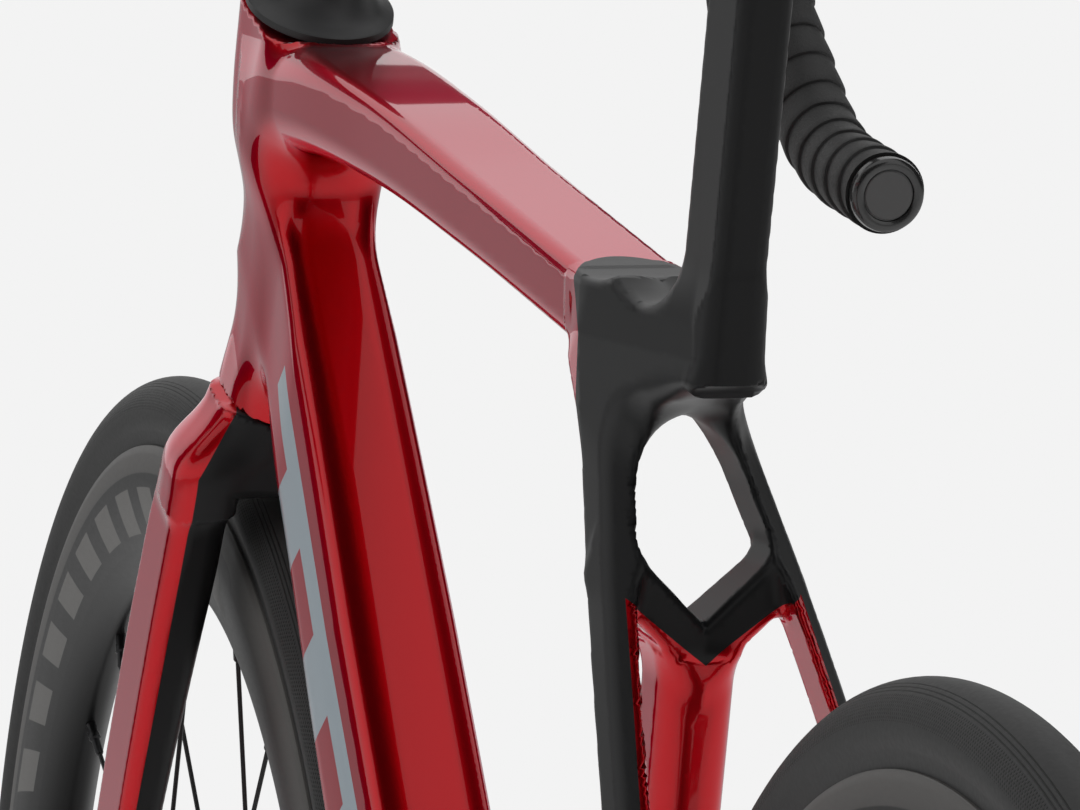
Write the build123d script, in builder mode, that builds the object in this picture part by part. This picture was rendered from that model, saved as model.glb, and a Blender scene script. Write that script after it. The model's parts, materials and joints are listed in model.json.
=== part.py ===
"""An aero road bike: carbon frame with a split seat cluster, disc brakes and deep wheels.

The origin is where the rider sits, at the top of the saddle. +X is forward, +Y is to the
rider's left and +Z is up. Lengths are in millimetres.
"""

import os
from math import asin, atan2, cos, hypot, pi, radians, sin, sqrt

from build123d import *

# ---------------------------------------------------------------- frame geometry
saddle_height = 740.0  # bottom-bracket centre to saddle top, along the seat line
seat_angle = 73.3
reach = 391.0
stack = 565.0
head_angle = 73.5
chainstay_length = 410.0
bracket_drop = 70.0  # axles above the bottom bracket
fork_offset = 40.0
rear_spacing = 142.0  # between the rear dropouts
front_spacing = 100.0

# ---------------------------------------------------------------- running clearances
pin_clearance = 0.3
seam = 1.0  # between pieces that steer and the head tube

# ---------------------------------------------------------------- wheels
tyre_radius = 343.0
tyre_width = 29.0
rim_radius = 316.5
rim_bead_width = 26.8
rim_width = 29.5
rim_depth = 52.0
axle_radius = 6.0
hub_barrel_radius = 13.0
hub_end_radius = 9.5
flange_radius = 21.0
flange_thickness = 5.0
spoke_count = 24
spoke_radius = 0.9
spoke_seat = 0.4  # each spoke's middle line ends this far from the flange and the rim
rotor_radius = 80.0
rotor_thickness = 1.8
rotor_inset = 12.5  # rotor middle from the dropout face
rotor_seat_radius = 16.0
rotor_arms = 6
dropout_thickness = 9.0
dropout_radius = 15.0
dropout_step = 0.6  # the tubes' sides stand this far inside the dropout's faces
arch_half_width = 22.0  # clear of the tyre under the crown
pad_clearance = 0.8

# ---------------------------------------------------------------- drivetrain
chain_pitch = 12.7
ring_teeth = 52
inner_ring_teeth = 36
chain_line = 47.5  # the outer ring and the cog in use
ring_spacing = 7.0
tooth_thickness = 1.4
root_below_pitch = 3.9
tip_above_pitch = 2.5
cog_teeth = (11, 12, 13, 14, 15, 16, 17, 19, 21, 24, 27, 30)
cog_in_use = 4  # index of the cog that carries the chain
cog_spacing = 3.6
pulley_teeth = 12
pulley_thickness = 2.0
chain_channel = 2.8  # between the chain's plates
chain_width = 5.0
plate_half_height = 4.2
plate_half_waist = 3.1
spindle_radius = 14.5
crank_length = 172.5
crank_arm_outside = 73.0  # outer face of an arm, from the middle
crank_arm_thickness = 13.0
pedal_thread_radius = 7.14

# ---------------------------------------------------------------- frame tubes
steerer_radius = 14.3
head_tube_length = 152.0
crown_width = 52.0
crown_length = 60.0
shell_radius = 23.0
shell_length = 86.0
top_tube_width = 37.0
top_tube_depth = 29.0
down_tube_width = 51.0
down_tube_depth = 61.0
seat_tube_width = 24.0
seat_tube_depth = 38.0
post_width = 18.0
post_depth = 42.0
post_lead = 8.0  # post axis ahead of the seat line
cluster_height = 489.5  # middle of the seat cluster above the bottom bracket
yoke_height = 398.0  # where the seat tube forks
stay_width = 11.0
stay_depth = 24.0
chainstay_width = 12.0
chainstay_depth = 30.0

# ---------------------------------------------------------------- cockpit
bar_width = 446.0  # between the middles of the drop ends
bar_flare = 13.0  # each drop end stands this far outside its lever
bar_reach = 85.0
bar_drop = 118.0
bar_end_lead = 58.0  # the drop's open end behind the bar's middle
tape_radius = 15.5
bar_radius = 12.0
plug_thickness = 7.0
stem_length = 92.0
stem_width = 42.0
stem_depth = 58.0
cover_height = 22.0
cover_width = 52.0
cover_length = 82.0
cover_lead = -6.0  # the cover's middle from the steering axis
cover_edge = 3.5  # height of its upright edge
stem_rise = 34.0  # bar middle above the cover's top

# ---------------------------------------------------------------- saddle
saddle_length = 250.0
saddle_width = 144.0
saddle_thickness = 34.0
rail_radius = 3.5
rail_spacing = 44.0
rail_drop = 52.0  # rails below the saddle's top

# ---------------------------------------------------------------- small parts
boss_thread_radius = 2.5
boss_spacing = 64.0
boss_depth = 8.0

# ---------------------------------------------------------------- derived places
seat_sin = sin(radians(seat_angle))
seat_cos = cos(radians(seat_angle))
bracket_x = saddle_height * seat_cos
bracket_z = -saddle_height * seat_sin
bracket = Vector(bracket_x, 0, bracket_z)
seat_up = Vector(-seat_cos, 0, seat_sin)
steer_down = Vector(cos(radians(head_angle)), 0, -sin(radians(head_angle)))
steer_front = Vector(sin(radians(head_angle)), 0, cos(radians(head_angle)))
head_top = bracket + Vector(reach, 0, stack)
rear_axle = bracket + Vector(-sqrt(chainstay_length**2 - bracket_drop**2), 0, bracket_drop)
fork_length = (head_top.Z - rear_axle.Z + steer_front.Z * fork_offset) / -steer_down.Z
front_axle = head_top + steer_down * fork_length + steer_front * fork_offset
forward = Vector(1, 0, 0)
upward = Vector(0, 0, 1)
left = Vector(0, 1, 0)


def along_head(depth, ahead=0.0, side=0.0):
    """A point measured down the steering axis from the top of the head tube."""
    return head_top + steer_down * depth + steer_front * ahead + left * side


def up_seat(height, ahead=0.0, side=0.0):
    """A point on the seat line at a height above the bottom bracket."""
    return bracket + seat_up * (height / seat_sin) + forward * ahead + left * side


def between(start, end, share):
    """The point a share of the way from start to end."""
    return start + (end - start) * share


def rounded(center, direction, width, depth, corner=0.45):
    """A rounded section: width across the bike, depth at right angles to direction."""
    plane = Plane(origin=center, x_dir=(0, 1, 0), z_dir=direction)
    with BuildSketch(plane) as profile:
        RectangleRounded(width, depth, min(width, depth) * corner)
    return profile.sketch


def across(center, direction, thickness, depth):
    """A rounded section of an arm that climbs sideways: depth runs along the bike."""
    with BuildSketch(Plane(origin=center, x_dir=(1, 0, 0), z_dir=direction)) as profile:
        RectangleRounded(depth, thickness, thickness * 0.42)
    return profile.sketch


def drum(middle, start, stop, radius, mode=Mode.ADD):
    """A cylinder along Y, or a hole, between two distances from the middle of the bike."""
    plane = Plane(origin=(middle.X, start, middle.Z), x_dir=(1, 0, 0), z_dir=(0, stop - start, 0))
    with BuildSketch(plane) as circle:
        Circle(radius)
    extrude(circle.sketch, amount=abs(stop - start), mode=mode)


def bar_slice(center, chord, thick):
    """A section of the handlebar's top, at right angles to Y."""
    with BuildSketch(Plane(origin=center, x_dir=(1, 0, 0), z_dir=(0, 1, 0))) as profile:
        RectangleRounded(chord, thick, thick * 0.48)
    return profile.sketch


def cage_threads(middle, line, normal, tube_depth):
    """The two threaded holes that hold a bottle cage, open on the side of the normal."""
    for step in (-boss_spacing / 2, boss_spacing / 2):
        floor = middle + line * step + normal * (tube_depth / 2 - boss_depth)
        with BuildSketch(Plane(origin=floor, x_dir=(0, 1, 0), z_dir=normal)) as hole:
            Circle(boss_thread_radius)
        extrude(hole.sketch, amount=boss_depth + 20, mode=Mode.SUBTRACT)


def link_plate(start, end, half_width, near, far):
    """A plate with round ends between two points, from one distance along Y to another."""
    gap = Vector(end.X - start.X, 0, end.Z - start.Z)
    middle = Vector((start.X + end.X) / 2, near, (start.Z + end.Z) / 2)
    with BuildSketch(Plane(origin=middle, x_dir=gap, z_dir=(0, far - near, 0))) as profile:
        SlotCenterToCenter(gap.length, 2 * half_width)
    extrude(profile.sketch, amount=abs(far - near))


def arm_slice(middle, sign, height):
    """A section of a crank arm at right angles to X."""
    side = sign * (crank_arm_outside - crank_arm_thickness / 2)
    with BuildSketch(Plane(origin=(middle.X, side, middle.Z), x_dir=(0, 1, 0),
                           z_dir=(1, 0, 0))) as profile:
        RectangleRounded(crank_arm_thickness, height, 4.0)
    return profile.sketch


def on_wheel(axle, radius, turn, side):
    """A point on a wheel, turn degrees round from straight ahead."""
    return axle + Vector(radius * cos(radians(turn)), side, radius * sin(radians(turn)))


def pitch_radius(teeth):
    """The radius at which the chain's pins run round a sprocket."""
    return chain_pitch / 2 / sin(pi / teeth)


def toothed_outline(teeth):
    """The corners of a sprocket with plain trapezoid teeth."""
    corners = []
    for index in range(teeth):
        for share, rise in ((-0.30, -root_below_pitch), (-0.11, tip_above_pitch),
                            (0.11, tip_above_pitch), (0.30, -root_below_pitch)):
            angle = 2 * pi * (index + share) / teeth
            radius = pitch_radius(teeth) + rise
            corners.append((radius * cos(angle), radius * sin(angle)))
    return corners


def save(piece, name):
    """Label a finished piece and write it as a STEP file."""
    piece.label = name
    export_step(piece, f"parts/{name}.step")


def sides():
    """Both sides of the bike, as a name and the sign of Y."""
    return (("left", 1), ("right", -1))


os.makedirs("parts", exist_ok=True)

# ================================================================ frame
# The head tube is narrow at its waist and flares to the cover above and the crown below.
head_sections = (
    # depth, ahead, width, length
    (0.0, cover_lead, cover_width, cover_length),
    (36.0, -2.0, cover_width, cover_length - 6),
    (72.0, 4.0, cover_width - 9, cover_length - 16),
    (112.0, 3.0, cover_width - 8, crown_length + 2),
    (head_tube_length, 1.0, crown_width, crown_length),
)
steerer_bore = steerer_radius + pin_clearance
with BuildPart() as head_tube:
    loft([rounded(along_head(depth, ahead), -steer_down, width, length)
          for depth, ahead, width, length in head_sections])
    with BuildSketch(Plane(origin=head_top - steer_down, x_dir=left, z_dir=steer_down)):
        Circle(steerer_bore)
    extrude(amount=head_tube_length + 2, mode=Mode.SUBTRACT)

# The bottom-bracket shell carries the crank spindle across the bike.
with BuildPart() as bottom_bracket_shell:
    drum(bracket, -shell_length / 2, shell_length / 2, shell_radius)
    drum(bracket, -shell_length, shell_length, spindle_radius + pin_clearance, Mode.SUBTRACT)

# The down tube deepens towards the head tube, where its lower edge meets the crown.
down_foot = bracket + Vector(6, 0, 12)
down_head = along_head(76.0)
down_line = (down_head - down_foot).normalized()
down_normal = Vector(-down_line.Z, 0, down_line.X)
down_boss = between(down_foot, down_head, 0.42)
down_sections = (
    # share of the length, offset to the upper side, width, depth
    (0.0, 0.0, 62.0, 54.0),
    (0.25, 3.0, down_tube_width + 3, down_tube_depth - 2),
    (0.60, 7.0, down_tube_width, down_tube_depth),
    (0.82, 10.0, down_tube_width - 1, down_tube_depth + 2),
    (1.0, 8.0, down_tube_width - 7, down_tube_depth + 34),
)
with BuildPart() as down_tube:
    loft([rounded(between(down_foot, down_head, share) + down_normal * offset_up,
                  down_line, width, depth)
          for share, offset_up, width, depth in down_sections])
    add(head_tube.part, mode=Mode.SUBTRACT)
    with BuildSketch(Plane(origin=head_top - steer_down * 9, x_dir=left, z_dir=steer_down)):
        Circle(steerer_bore + 4)
    extrude(amount=head_tube_length + 9, mode=Mode.SUBTRACT)
    drum(bracket, -shell_length, shell_length, shell_radius, Mode.SUBTRACT)
    cage_threads(down_boss, down_line, down_normal, down_tube_depth)

# The top tube is a flat-topped beam that falls gently to the seat cluster.
cluster = up_seat(cluster_height, post_lead)
tube_front = along_head(30.0)
tube_rear = cluster + Vector(100.0, 0, 1.0)
top_sections = (
    # share from the rear, rise above the straight line, width, depth
    (0.0, 0.0, top_tube_width - 1, top_tube_depth - 2),
    (0.36, 4.0, top_tube_width, top_tube_depth - 1),
    (0.62, 5.5, top_tube_width + 2, top_tube_depth + 3),
    (0.84, 3.0, top_tube_width + 9, top_tube_depth + 10),
    (1.0, -2.0, top_tube_width + 13, top_tube_depth + 20),
)
with BuildPart() as top_tube:
    loft([rounded(between(tube_rear, tube_front, share) + upward * rise,
                  tube_front - tube_rear, width, depth, 0.3)
          for share, rise, width, depth in top_sections])
    add(head_tube.part, mode=Mode.SUBTRACT)
    add(down_tube.part, mode=Mode.SUBTRACT)
    with BuildSketch(Plane(origin=head_top - steer_down * 60, x_dir=left, z_dir=steer_down)):
        Rectangle(120, 200)
    extrude(amount=60, mode=Mode.SUBTRACT)
    with BuildSketch(Plane(origin=head_top, x_dir=left, z_dir=steer_down)):
        Circle(steerer_bore + 4)
    extrude(amount=head_tube_length, mode=Mode.SUBTRACT)

# The seat cluster carries on from the top tube, under the post, with its stay roots beside.
tube_line = tube_front - tube_rear
cluster_sections = (
    # ahead of the cluster point, above it, direction, width, depth
    (100.0, 1.0, tube_line, top_tube_width - 1, top_tube_depth - 2),
    (58.0, -5.0, forward, top_tube_width + 10, top_tube_depth + 4),
    (18.0, -6.0, forward, top_tube_width + 6, top_tube_depth + 2),
    (-18.0, -4.0, forward, top_tube_width - 5, top_tube_depth - 7),
    (-42.0, -2.0, forward, top_tube_width - 11, top_tube_depth - 13),
)
with BuildPart() as seat_cluster:
    loft([rounded(cluster + forward * ahead + upward * above, line, width, depth, 0.3)
          for ahead, above, line, width, depth in cluster_sections])

# The chainstays run from the shell to the rear dropouts, which hold the thru axle.
dropout_middle = rear_spacing / 2 + dropout_thickness / 2
chainstay_foot = bracket + Vector(-12.0, 0, 1.0)
chainstay_end = rear_axle + Vector(9.0, 0, -2.0)
chainstay_line = chainstay_end - chainstay_foot
chainstay_sections = (
    # share of the way back, out from the middle, width, depth
    (0.0, 28.0, chainstay_width + 2, chainstay_depth + 10),
    (0.17, 28.5, chainstay_width - 2, chainstay_depth + 4),
    (0.40, 40.0, chainstay_width, chainstay_depth - 2),
    (0.70, 59.0, chainstay_width, chainstay_depth - 7),
    (1.0, dropout_middle, dropout_thickness - 2 * dropout_step, chainstay_depth - 8),
)
chainstays = {}
for side, sign in sides():
    with BuildPart() as chainstay:
        loft([rounded(between(chainstay_foot, chainstay_end, share) + left * (sign * out),
                      chainstay_line, width, depth)
              for share, out, width, depth in chainstay_sections])
        drum(rear_axle, sign * rear_spacing / 2, sign * (rear_spacing / 2 + dropout_thickness),
             dropout_radius)
        drum(bracket, -shell_length, shell_length, shell_radius, Mode.SUBTRACT)
        drum(rear_axle, -rear_spacing, rear_spacing, axle_radius, Mode.SUBTRACT)
    chainstays[side] = chainstay.part

# The stays run from the cluster's sides down to the rear dropouts in one line.
stay_top = cluster + Vector(70.0, 0, -5.0)
stay_end = rear_axle + Vector(7.0, 0, 9.0)
stay_line = stay_end - stay_top
stay_sections = (
    # share of the way down, out from the middle, width, depth
    (0.0, 14.0, stay_width, stay_depth + 6),
    (0.10, 22.0, stay_width, stay_depth + 3),
    (0.22, 32.0, stay_width, stay_depth),
    (0.36, 40.5, stay_width - 0.5, stay_depth - 1),
    (0.62, 54.0, stay_width - 1, stay_depth - 4),
    (1.0, dropout_middle, dropout_thickness - 2 * dropout_step, stay_depth - 2),
)
seat_stays = {}
for side, sign in sides():
    with BuildPart() as seat_stay:
        loft([rounded(between(stay_top, stay_end, share) + left * (sign * out),
                      stay_line, width, depth)
              for share, out, width, depth in stay_sections])
        add(seat_cluster.part, mode=Mode.SUBTRACT)
        add(chainstays[side], mode=Mode.SUBTRACT)
    seat_stays[side] = seat_stay.part

# The seat tube rises from the shell and forks into a yoke whose tips meet both stays.
yoke_root = up_seat(yoke_height - 12, 5.0)
seat_front = Vector(seat_sin, 0, seat_cos)
seat_boss = up_seat(215.0)
yoke_tip_share = 0.18
yoke_tip_out = 28.0
with BuildPart() as seat_tube:
    loft([rounded(up_seat(12.0), seat_up, seat_tube_width + 20, seat_tube_depth + 8),
          rounded(up_seat(90.0), seat_up, seat_tube_width + 4, seat_tube_depth + 4),
          rounded(up_seat(yoke_height * 0.6, 2.0), seat_up, seat_tube_width, seat_tube_depth),
          rounded(yoke_root, seat_up, seat_tube_width + 2, seat_tube_depth - 4)])
    for side, sign in sides():
        yoke_tip = between(stay_top, stay_end, yoke_tip_share) + left * (sign * yoke_tip_out)
        yoke_knee = between(yoke_root, yoke_tip, 0.45) + upward * 2
        loft([across(yoke_root + left * (sign * 4) - upward * 3, (0, sign * 0.6, 1), 18.0, 34.0),
              across(yoke_knee, (0, sign, 1), 15.0, 30.0),
              across(yoke_tip, (0, sign, 1), 13.0, 25.0)])
    drum(bracket, -shell_length, shell_length, shell_radius, Mode.SUBTRACT)
    add(down_tube.part, mode=Mode.SUBTRACT)
    for side, sign in sides():
        add(chainstays[side], mode=Mode.SUBTRACT)
        add(seat_stays[side], mode=Mode.SUBTRACT)
    cage_threads(seat_boss, seat_up, seat_front, seat_tube_depth)

# The seat post is a slim blade that stands on the cluster and carries the saddle's clamp.
rail_height = saddle_height * seat_sin - rail_drop
clamp_middle = up_seat(rail_height, post_lead)
post_sections = (
    # height above the cluster, behind the post line, width, depth
    (2.0, -4.0, post_width - 1, post_depth - 3),
    (16.0, -2.0, post_width + 1, post_depth + 2),
    (36.0, 1.0, post_width + 1, post_depth + 1),
    (70.0, 0.0, post_width, post_depth),
    (rail_height - cluster_height - 12, 0.0, post_width, post_depth - 3),
)
with BuildPart() as seat_post:
    loft([rounded(up_seat(cluster_height + height, post_lead - behind), seat_up, width, depth)
          for height, behind, width, depth in post_sections])
    add(seat_cluster.part, mode=Mode.SUBTRACT)

# The saddle is a closed shell and pad, broad behind and narrow at its nose.
saddle_tail = 0.46 * saddle_length
saddle_sections = (
    # share of the length from the tail, share of the width, share of the thickness
    (0.0, 0.66, 0.6),
    (0.12, 0.98, 0.95),
    (0.34, 0.92, 1.0),
    (0.56, 0.48, 1.0),
    (0.80, 0.30, 0.92),
    (1.0, 0.22, 0.55),
)
with BuildPart() as saddle:
    loft([rounded(Vector(saddle_length * share - saddle_tail, 0, -saddle_thickness * thick / 2),
                  forward, saddle_width * wide, saddle_thickness * thick, 0.42)
          for share, wide, thick in saddle_sections])

# Two rails hang below the saddle, bent up into it at both ends.
with BuildPart() as saddle_rails:
    for side, sign in sides():
        rail_side = sign * rail_spacing / 2
        with BuildLine() as rail_line:
            FilletPolyline((-84, rail_side * 1.15, -24), (-60, rail_side, -rail_drop),
                           (62, rail_side, -rail_drop), (102, rail_side * 0.4, -24), radius=14)
        with BuildSketch(Plane(origin=rail_line.line @ 0, z_dir=rail_line.line % 0)):
            Circle(rail_radius)
        sweep(path=rail_line.line)
    add(saddle.part, mode=Mode.SUBTRACT)

# The clamp grips both rails on top of the post.
with BuildPart() as saddle_clamp:
    drum(clamp_middle - upward * 2, -rail_spacing / 2 - 7, rail_spacing / 2 + 7, 13.0)
    with BuildSketch(Plane.XY.offset(-rail_drop - rail_radius).move(Location((clamp_middle.X, 0, 0)))):
        RectangleRounded(40, rail_spacing + 16, 6)
    extrude(amount=2 * rail_radius + 3)
    with BuildSketch(Plane(origin=up_seat(rail_height - 14, post_lead), x_dir=left, z_dir=seat_up)):
        RectangleRounded(post_width - 1, post_depth - 8, (post_width - 2) / 2)
    extrude(amount=14)
    add(saddle_rails.part, mode=Mode.SUBTRACT)
    add(seat_post.part, mode=Mode.SUBTRACT)
    add(saddle.part, mode=Mode.SUBTRACT)

# ================================================================ steering
# The fork has two blades, a crown arched over the tyre, and a round steerer.
crown_top = head_tube_length + seam
crown_middle = along_head(crown_top)
arch_radius = tyre_radius + 6.5
fork_line = front_axle - crown_middle
front_dropout = front_spacing / 2 + dropout_thickness / 2
blade_sections = (
    # share of the way down, out from the middle, width, depth
    (0.04, 22.0, 30.0, 55.0),
    (0.10, 29.0, 19.0, 52.0),
    (0.19, 31.0, 14.5, 48.0),
    (0.36, 37.0, 13.0, 45.0),
    (0.60, 45.0, 12.0, 40.0),
    (0.84, 51.5, 11.0, 34.0),
    (1.0, front_dropout, dropout_thickness - 2 * dropout_step, 30.0),
)
with BuildPart() as fork:
    loft([rounded(crown_middle, steer_down, crown_width, crown_length),
          rounded(along_head(crown_top + 18, 1.0), steer_down, 76.0, 56.0),
          rounded(along_head(crown_top + 34, 2.0), steer_down, 80.0, 52.0)])
    for side, sign in sides():
        loft([rounded(between(crown_middle, front_axle, share) + left * (sign * out),
                      fork_line, width, depth)
              for share, out, width, depth in blade_sections])
        drum(front_axle, sign * front_spacing / 2,
             sign * (front_spacing / 2 + dropout_thickness), dropout_radius)
    drum(front_axle, -arch_half_width, arch_half_width, arch_radius, Mode.SUBTRACT)
    drum(front_axle, -front_spacing, front_spacing, axle_radius, Mode.SUBTRACT)
    drum(front_axle, front_spacing / 2 + dropout_thickness, front_spacing, dropout_radius,
         Mode.SUBTRACT)
    with BuildSketch(Plane(origin=along_head(-seam), x_dir=left, z_dir=steer_down)):
        Circle(steerer_radius)
    extrude(amount=crown_top + seam + 4)

# The headset cover is a low cone on the head tube's outline.
with BuildPart() as headset_cover:
    loft([rounded(along_head(-seam - rise, cover_lead), -steer_down, cover_width, cover_length)
          for rise in (0.0, cover_edge)])
    loft([rounded(along_head(-seam - cover_edge, cover_lead + 1), -steer_down,
                  cover_width - 4, cover_length - 6),
          rounded(along_head(-seam - 10, cover_lead + 2), -steer_down,
                  stem_width + 2, stem_depth + 6),
          rounded(along_head(-seam - cover_height, cover_lead + 4), -steer_down,
                  stem_width, stem_depth)])

# The handlebar and its stem are one piece, with flat tops and round drops.
stem_root = along_head(-seam - cover_height)
stem_middle = along_head(-seam - cover_height - stem_rise / 2)
bar_middle = stem_middle + forward * stem_length + upward * 8
bar_half = bar_width / 2 - bar_flare
drop_corners = (
    # ahead of the bar's middle, above it, out from the bar's half width, bend radius
    (0.0, 0.0, 0.0, 26.0),
    (bar_reach + 6, 4.0, 0.0, 28.0),
    (bar_reach - 20, -bar_drop * 0.5, bar_flare * 0.5, 90.0),
    (bar_reach - 76, 9.0 - bar_drop, bar_flare * 0.8, 90.0),
    (-bar_end_lead, -bar_drop, bar_flare, 0.0),
)


def drop_point(corner, sign):
    """A corner of one drop's middle line."""
    ahead, above, out, bend = drop_corners[corner]
    return bar_middle + Vector(ahead, sign * (bar_half + out), above)


def drop_line(sign):
    """The middle line of one drop, from the flat top round to its open end."""
    start = bar_middle + left * (sign * (bar_half - 60))
    corners = [start] + [drop_point(corner, sign) for corner in range(len(drop_corners))]
    with BuildLine() as line:
        FilletPolyline(*corners, radius=[corner[3] for corner in drop_corners[:-1]])
    return line.line


with BuildPart() as handlebar:
    loft([rounded(stem_root, -steer_down, stem_width, stem_depth),
          rounded(stem_middle, -steer_down + steer_front * 0.6, 40.0, 50.0),
          rounded(between(stem_middle, bar_middle, 0.45), forward, 36.0, 34.0),
          rounded(bar_middle, forward, 46.0, 24.0)])
    loft([bar_slice(bar_middle + left * across_bar, chord, thick)
          for across_bar, chord, thick in (
              (-(bar_half - 60), 30.0, 2 * bar_radius), (-bar_half * 0.4, 44.0, 19.0),
              (0.0, 48.0, 24.0), (bar_half * 0.4, 44.0, 19.0), (bar_half - 60, 30.0, 2 * bar_radius))])
    for side, sign in sides():
        drop = drop_line(sign)
        with BuildSketch(Plane(origin=drop @ 0, z_dir=drop % 0)):
            Circle(bar_radius)
        sweep(path=drop)

# Tape wraps each drop, and a plug closes its end.
bar_tapes = {}
bar_plugs = {}
for side, sign in sides():
    drop = drop_line(sign)
    with BuildPart() as bar_tape:
        with BuildSketch(Plane(origin=drop @ 0, z_dir=drop % 0)):
            Circle(tape_radius)
        sweep(path=drop)
        add(handlebar.part, mode=Mode.SUBTRACT)
    bar_tapes[side] = bar_tape.part
    with BuildPart() as bar_plug:
        with BuildSketch(Plane(origin=drop @ 1, z_dir=drop % 1)):
            Circle(tape_radius)
        extrude(amount=plug_thickness)
        chamfer(bar_plug.edges().filter_by(GeomType.CIRCLE).sort_by(Axis.X)[0], 1.5)
    bar_plugs[side] = bar_plug.part

# Each brake lever has a hood on the bend of the bar and a blade in reach of the drop.
brake_levers = {}
for side, sign in sides():
    hood_root = drop_point(1, sign) + Vector(-22, 0, -4)
    with BuildPart() as brake_lever:
        loft([rounded(hood_root, forward, 33.0, 36.0),
              rounded(hood_root + Vector(32, sign, 6), forward, 35.0, 42.0),
              rounded(hood_root + Vector(66, sign * 2, 16), forward, 32.0, 46.0),
              rounded(hood_root + Vector(92, sign * 3, 34), (1, 0, 0.6), 25.0, 34.0)])
        loft([rounded(hood_root + Vector(68, sign * 3, 0), (0.3, 0, -1), 16.0, 15.0),
              rounded(hood_root + Vector(73, sign * 5, -38), (0, 0, -1), 12.0, 10.0),
              rounded(hood_root + Vector(62, sign * 9, -80), (-0.4, 0, -1), 14.0, 8.0),
              rounded(hood_root + Vector(48, sign * 12, -101), (-0.6, 0, -1), 15.0, 7.0)])
        add(bar_tapes[side], mode=Mode.SUBTRACT)
        add(handlebar.part, mode=Mode.SUBTRACT)
    brake_levers[side] = brake_lever.part

# ================================================================ wheels
rim_inner = rim_radius - rim_depth
tyre_crown = [(tyre_width / 2 * sin(radians(angle)),
               tyre_radius - tyre_width / 2 * (1 - cos(radians(angle))))
              for angle in range(-90, 91, 18)]
tyre_corners = [(-rim_bead_width / 2, rim_radius), *tyre_crown, (rim_bead_width / 2, rim_radius)]
wheels = {}
for wheel, axle, spacing, flanges in (
        ("front", front_axle, front_spacing, (22.0, -31.0)),
        ("rear", rear_axle, rear_spacing, (32.0, -17.0))):
    section_plane = Plane(origin=axle, x_dir=left, z_dir=forward)
    axle_axis = Axis(tuple(axle), (0, 1, 0))
    rotor_middle = spacing / 2 - rotor_inset
    bead = rim_bead_width / 2
    belly = rim_width / 2
    with BuildPart() as rim:
        with BuildSketch(section_plane):
            with BuildLine():
                Polyline((-bead, rim_radius), (bead, rim_radius), (bead + 0.6, rim_radius - 7),
                         (belly, rim_radius - 16))
                half_rim = Spline((belly, rim_radius - 16), (belly * 0.72, rim_radius - 37),
                                  (0, rim_inner), tangents=((0, -1), (-1, 0)))
                mirror(half_rim, about=Plane.YZ)
                Polyline((-bead, rim_radius), (-bead - 0.6, rim_radius - 7),
                         (-belly, rim_radius - 16))
            make_face()
        revolve(axis=axle_axis)
    with BuildPart() as tyre:
        with BuildSketch(section_plane):
            with BuildLine():
                Polyline(*tyre_corners, close=True)
            make_face()
        revolve(axis=axle_axis)
    with BuildPart() as hub:
        left_flange, right_flange = flanges
        drum(axle, right_flange, left_flange, hub_barrel_radius)
        for flange in flanges:
            drum(axle, flange - flange_thickness / 2, flange + flange_thickness / 2, flange_radius)
        drum(axle, -spacing / 2, spacing / 2, hub_end_radius)
        drum(axle, left_flange, rotor_middle - rotor_thickness / 2, rotor_seat_radius)
        drum(axle, -spacing, spacing, axle_radius + pin_clearance, Mode.SUBTRACT)
    with BuildPart() as spokes:
        for index in range(spoke_count):
            flange = flanges[index % 2]
            turn = 360.0 / spoke_count * index
            lean = 1 if index % 4 < 2 else -1
            start = on_wheel(axle, flange_radius + spoke_seat, turn + lean * 62, flange + lean * 1.5)
            end = on_wheel(axle, rim_inner - spoke_seat, turn, 0.0)
            with BuildSketch(Plane(origin=start, z_dir=end - start)):
                Circle(spoke_radius)
            extrude(amount=(end - start).length)
    with BuildPart() as rotor:
        with BuildSketch(Plane(origin=axle + left * (rotor_middle - rotor_thickness / 2),
                               x_dir=forward, z_dir=left)):
            Circle(rotor_radius)
            Circle(rotor_radius - 14, mode=Mode.SUBTRACT)
            with PolarLocations(0, rotor_arms):
                with Locations((0, rotor_radius / 2)):
                    Rectangle(7.0, rotor_radius - 18)
            Circle(rotor_seat_radius + 7)
            Circle(hub_end_radius, mode=Mode.SUBTRACT)
            with PolarLocations(rotor_radius - 7, 18):
                Circle(2.6, mode=Mode.SUBTRACT)
        extrude(amount=rotor_thickness)
    wheels[wheel] = {"rim": rim.part, "tyre": tyre.part, "hub": hub.part,
                     "spokes": spokes.part, "rotor": rotor.part}

# Each caliper straddles its rotor behind the left blade or inside the rear triangle.
calipers = {}
for wheel, axle, spacing, reach_back, reach_up, turn, carriers in (
        ("front", front_axle, front_spacing, -34.0, 58.0, head_angle - 90, [fork.part]),
        ("rear", rear_axle, rear_spacing, 60.0, 30.0, 10.0,
         [chainstays["left"], seat_stays["left"]])):
    rotor_middle = spacing / 2 - rotor_inset
    along = Vector(cos(radians(turn)), 0, sin(radians(turn)))
    raised = Vector(-along.Z, 0, along.X)
    middle = axle + along * reach_back + raised * reach_up
    caliper_plane = Plane(origin=middle + left * (rotor_middle - 13), x_dir=along, z_dir=left)
    with BuildPart() as caliper:
        with BuildSketch(caliper_plane):
            if wheel == "front":
                RectangleRounded(32.0, 62.0, 8.0)
            else:
                RectangleRounded(58.0, 36.0, 8.0)
        extrude(amount=30.0)
        drum(axle, rotor_middle - rotor_thickness / 2 - pad_clearance,
             rotor_middle + rotor_thickness / 2 + pad_clearance, rotor_radius + 3, Mode.SUBTRACT)
        for carrier in carriers:
            add(carrier, mode=Mode.SUBTRACT)
    calipers[wheel] = caliper.part

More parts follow.
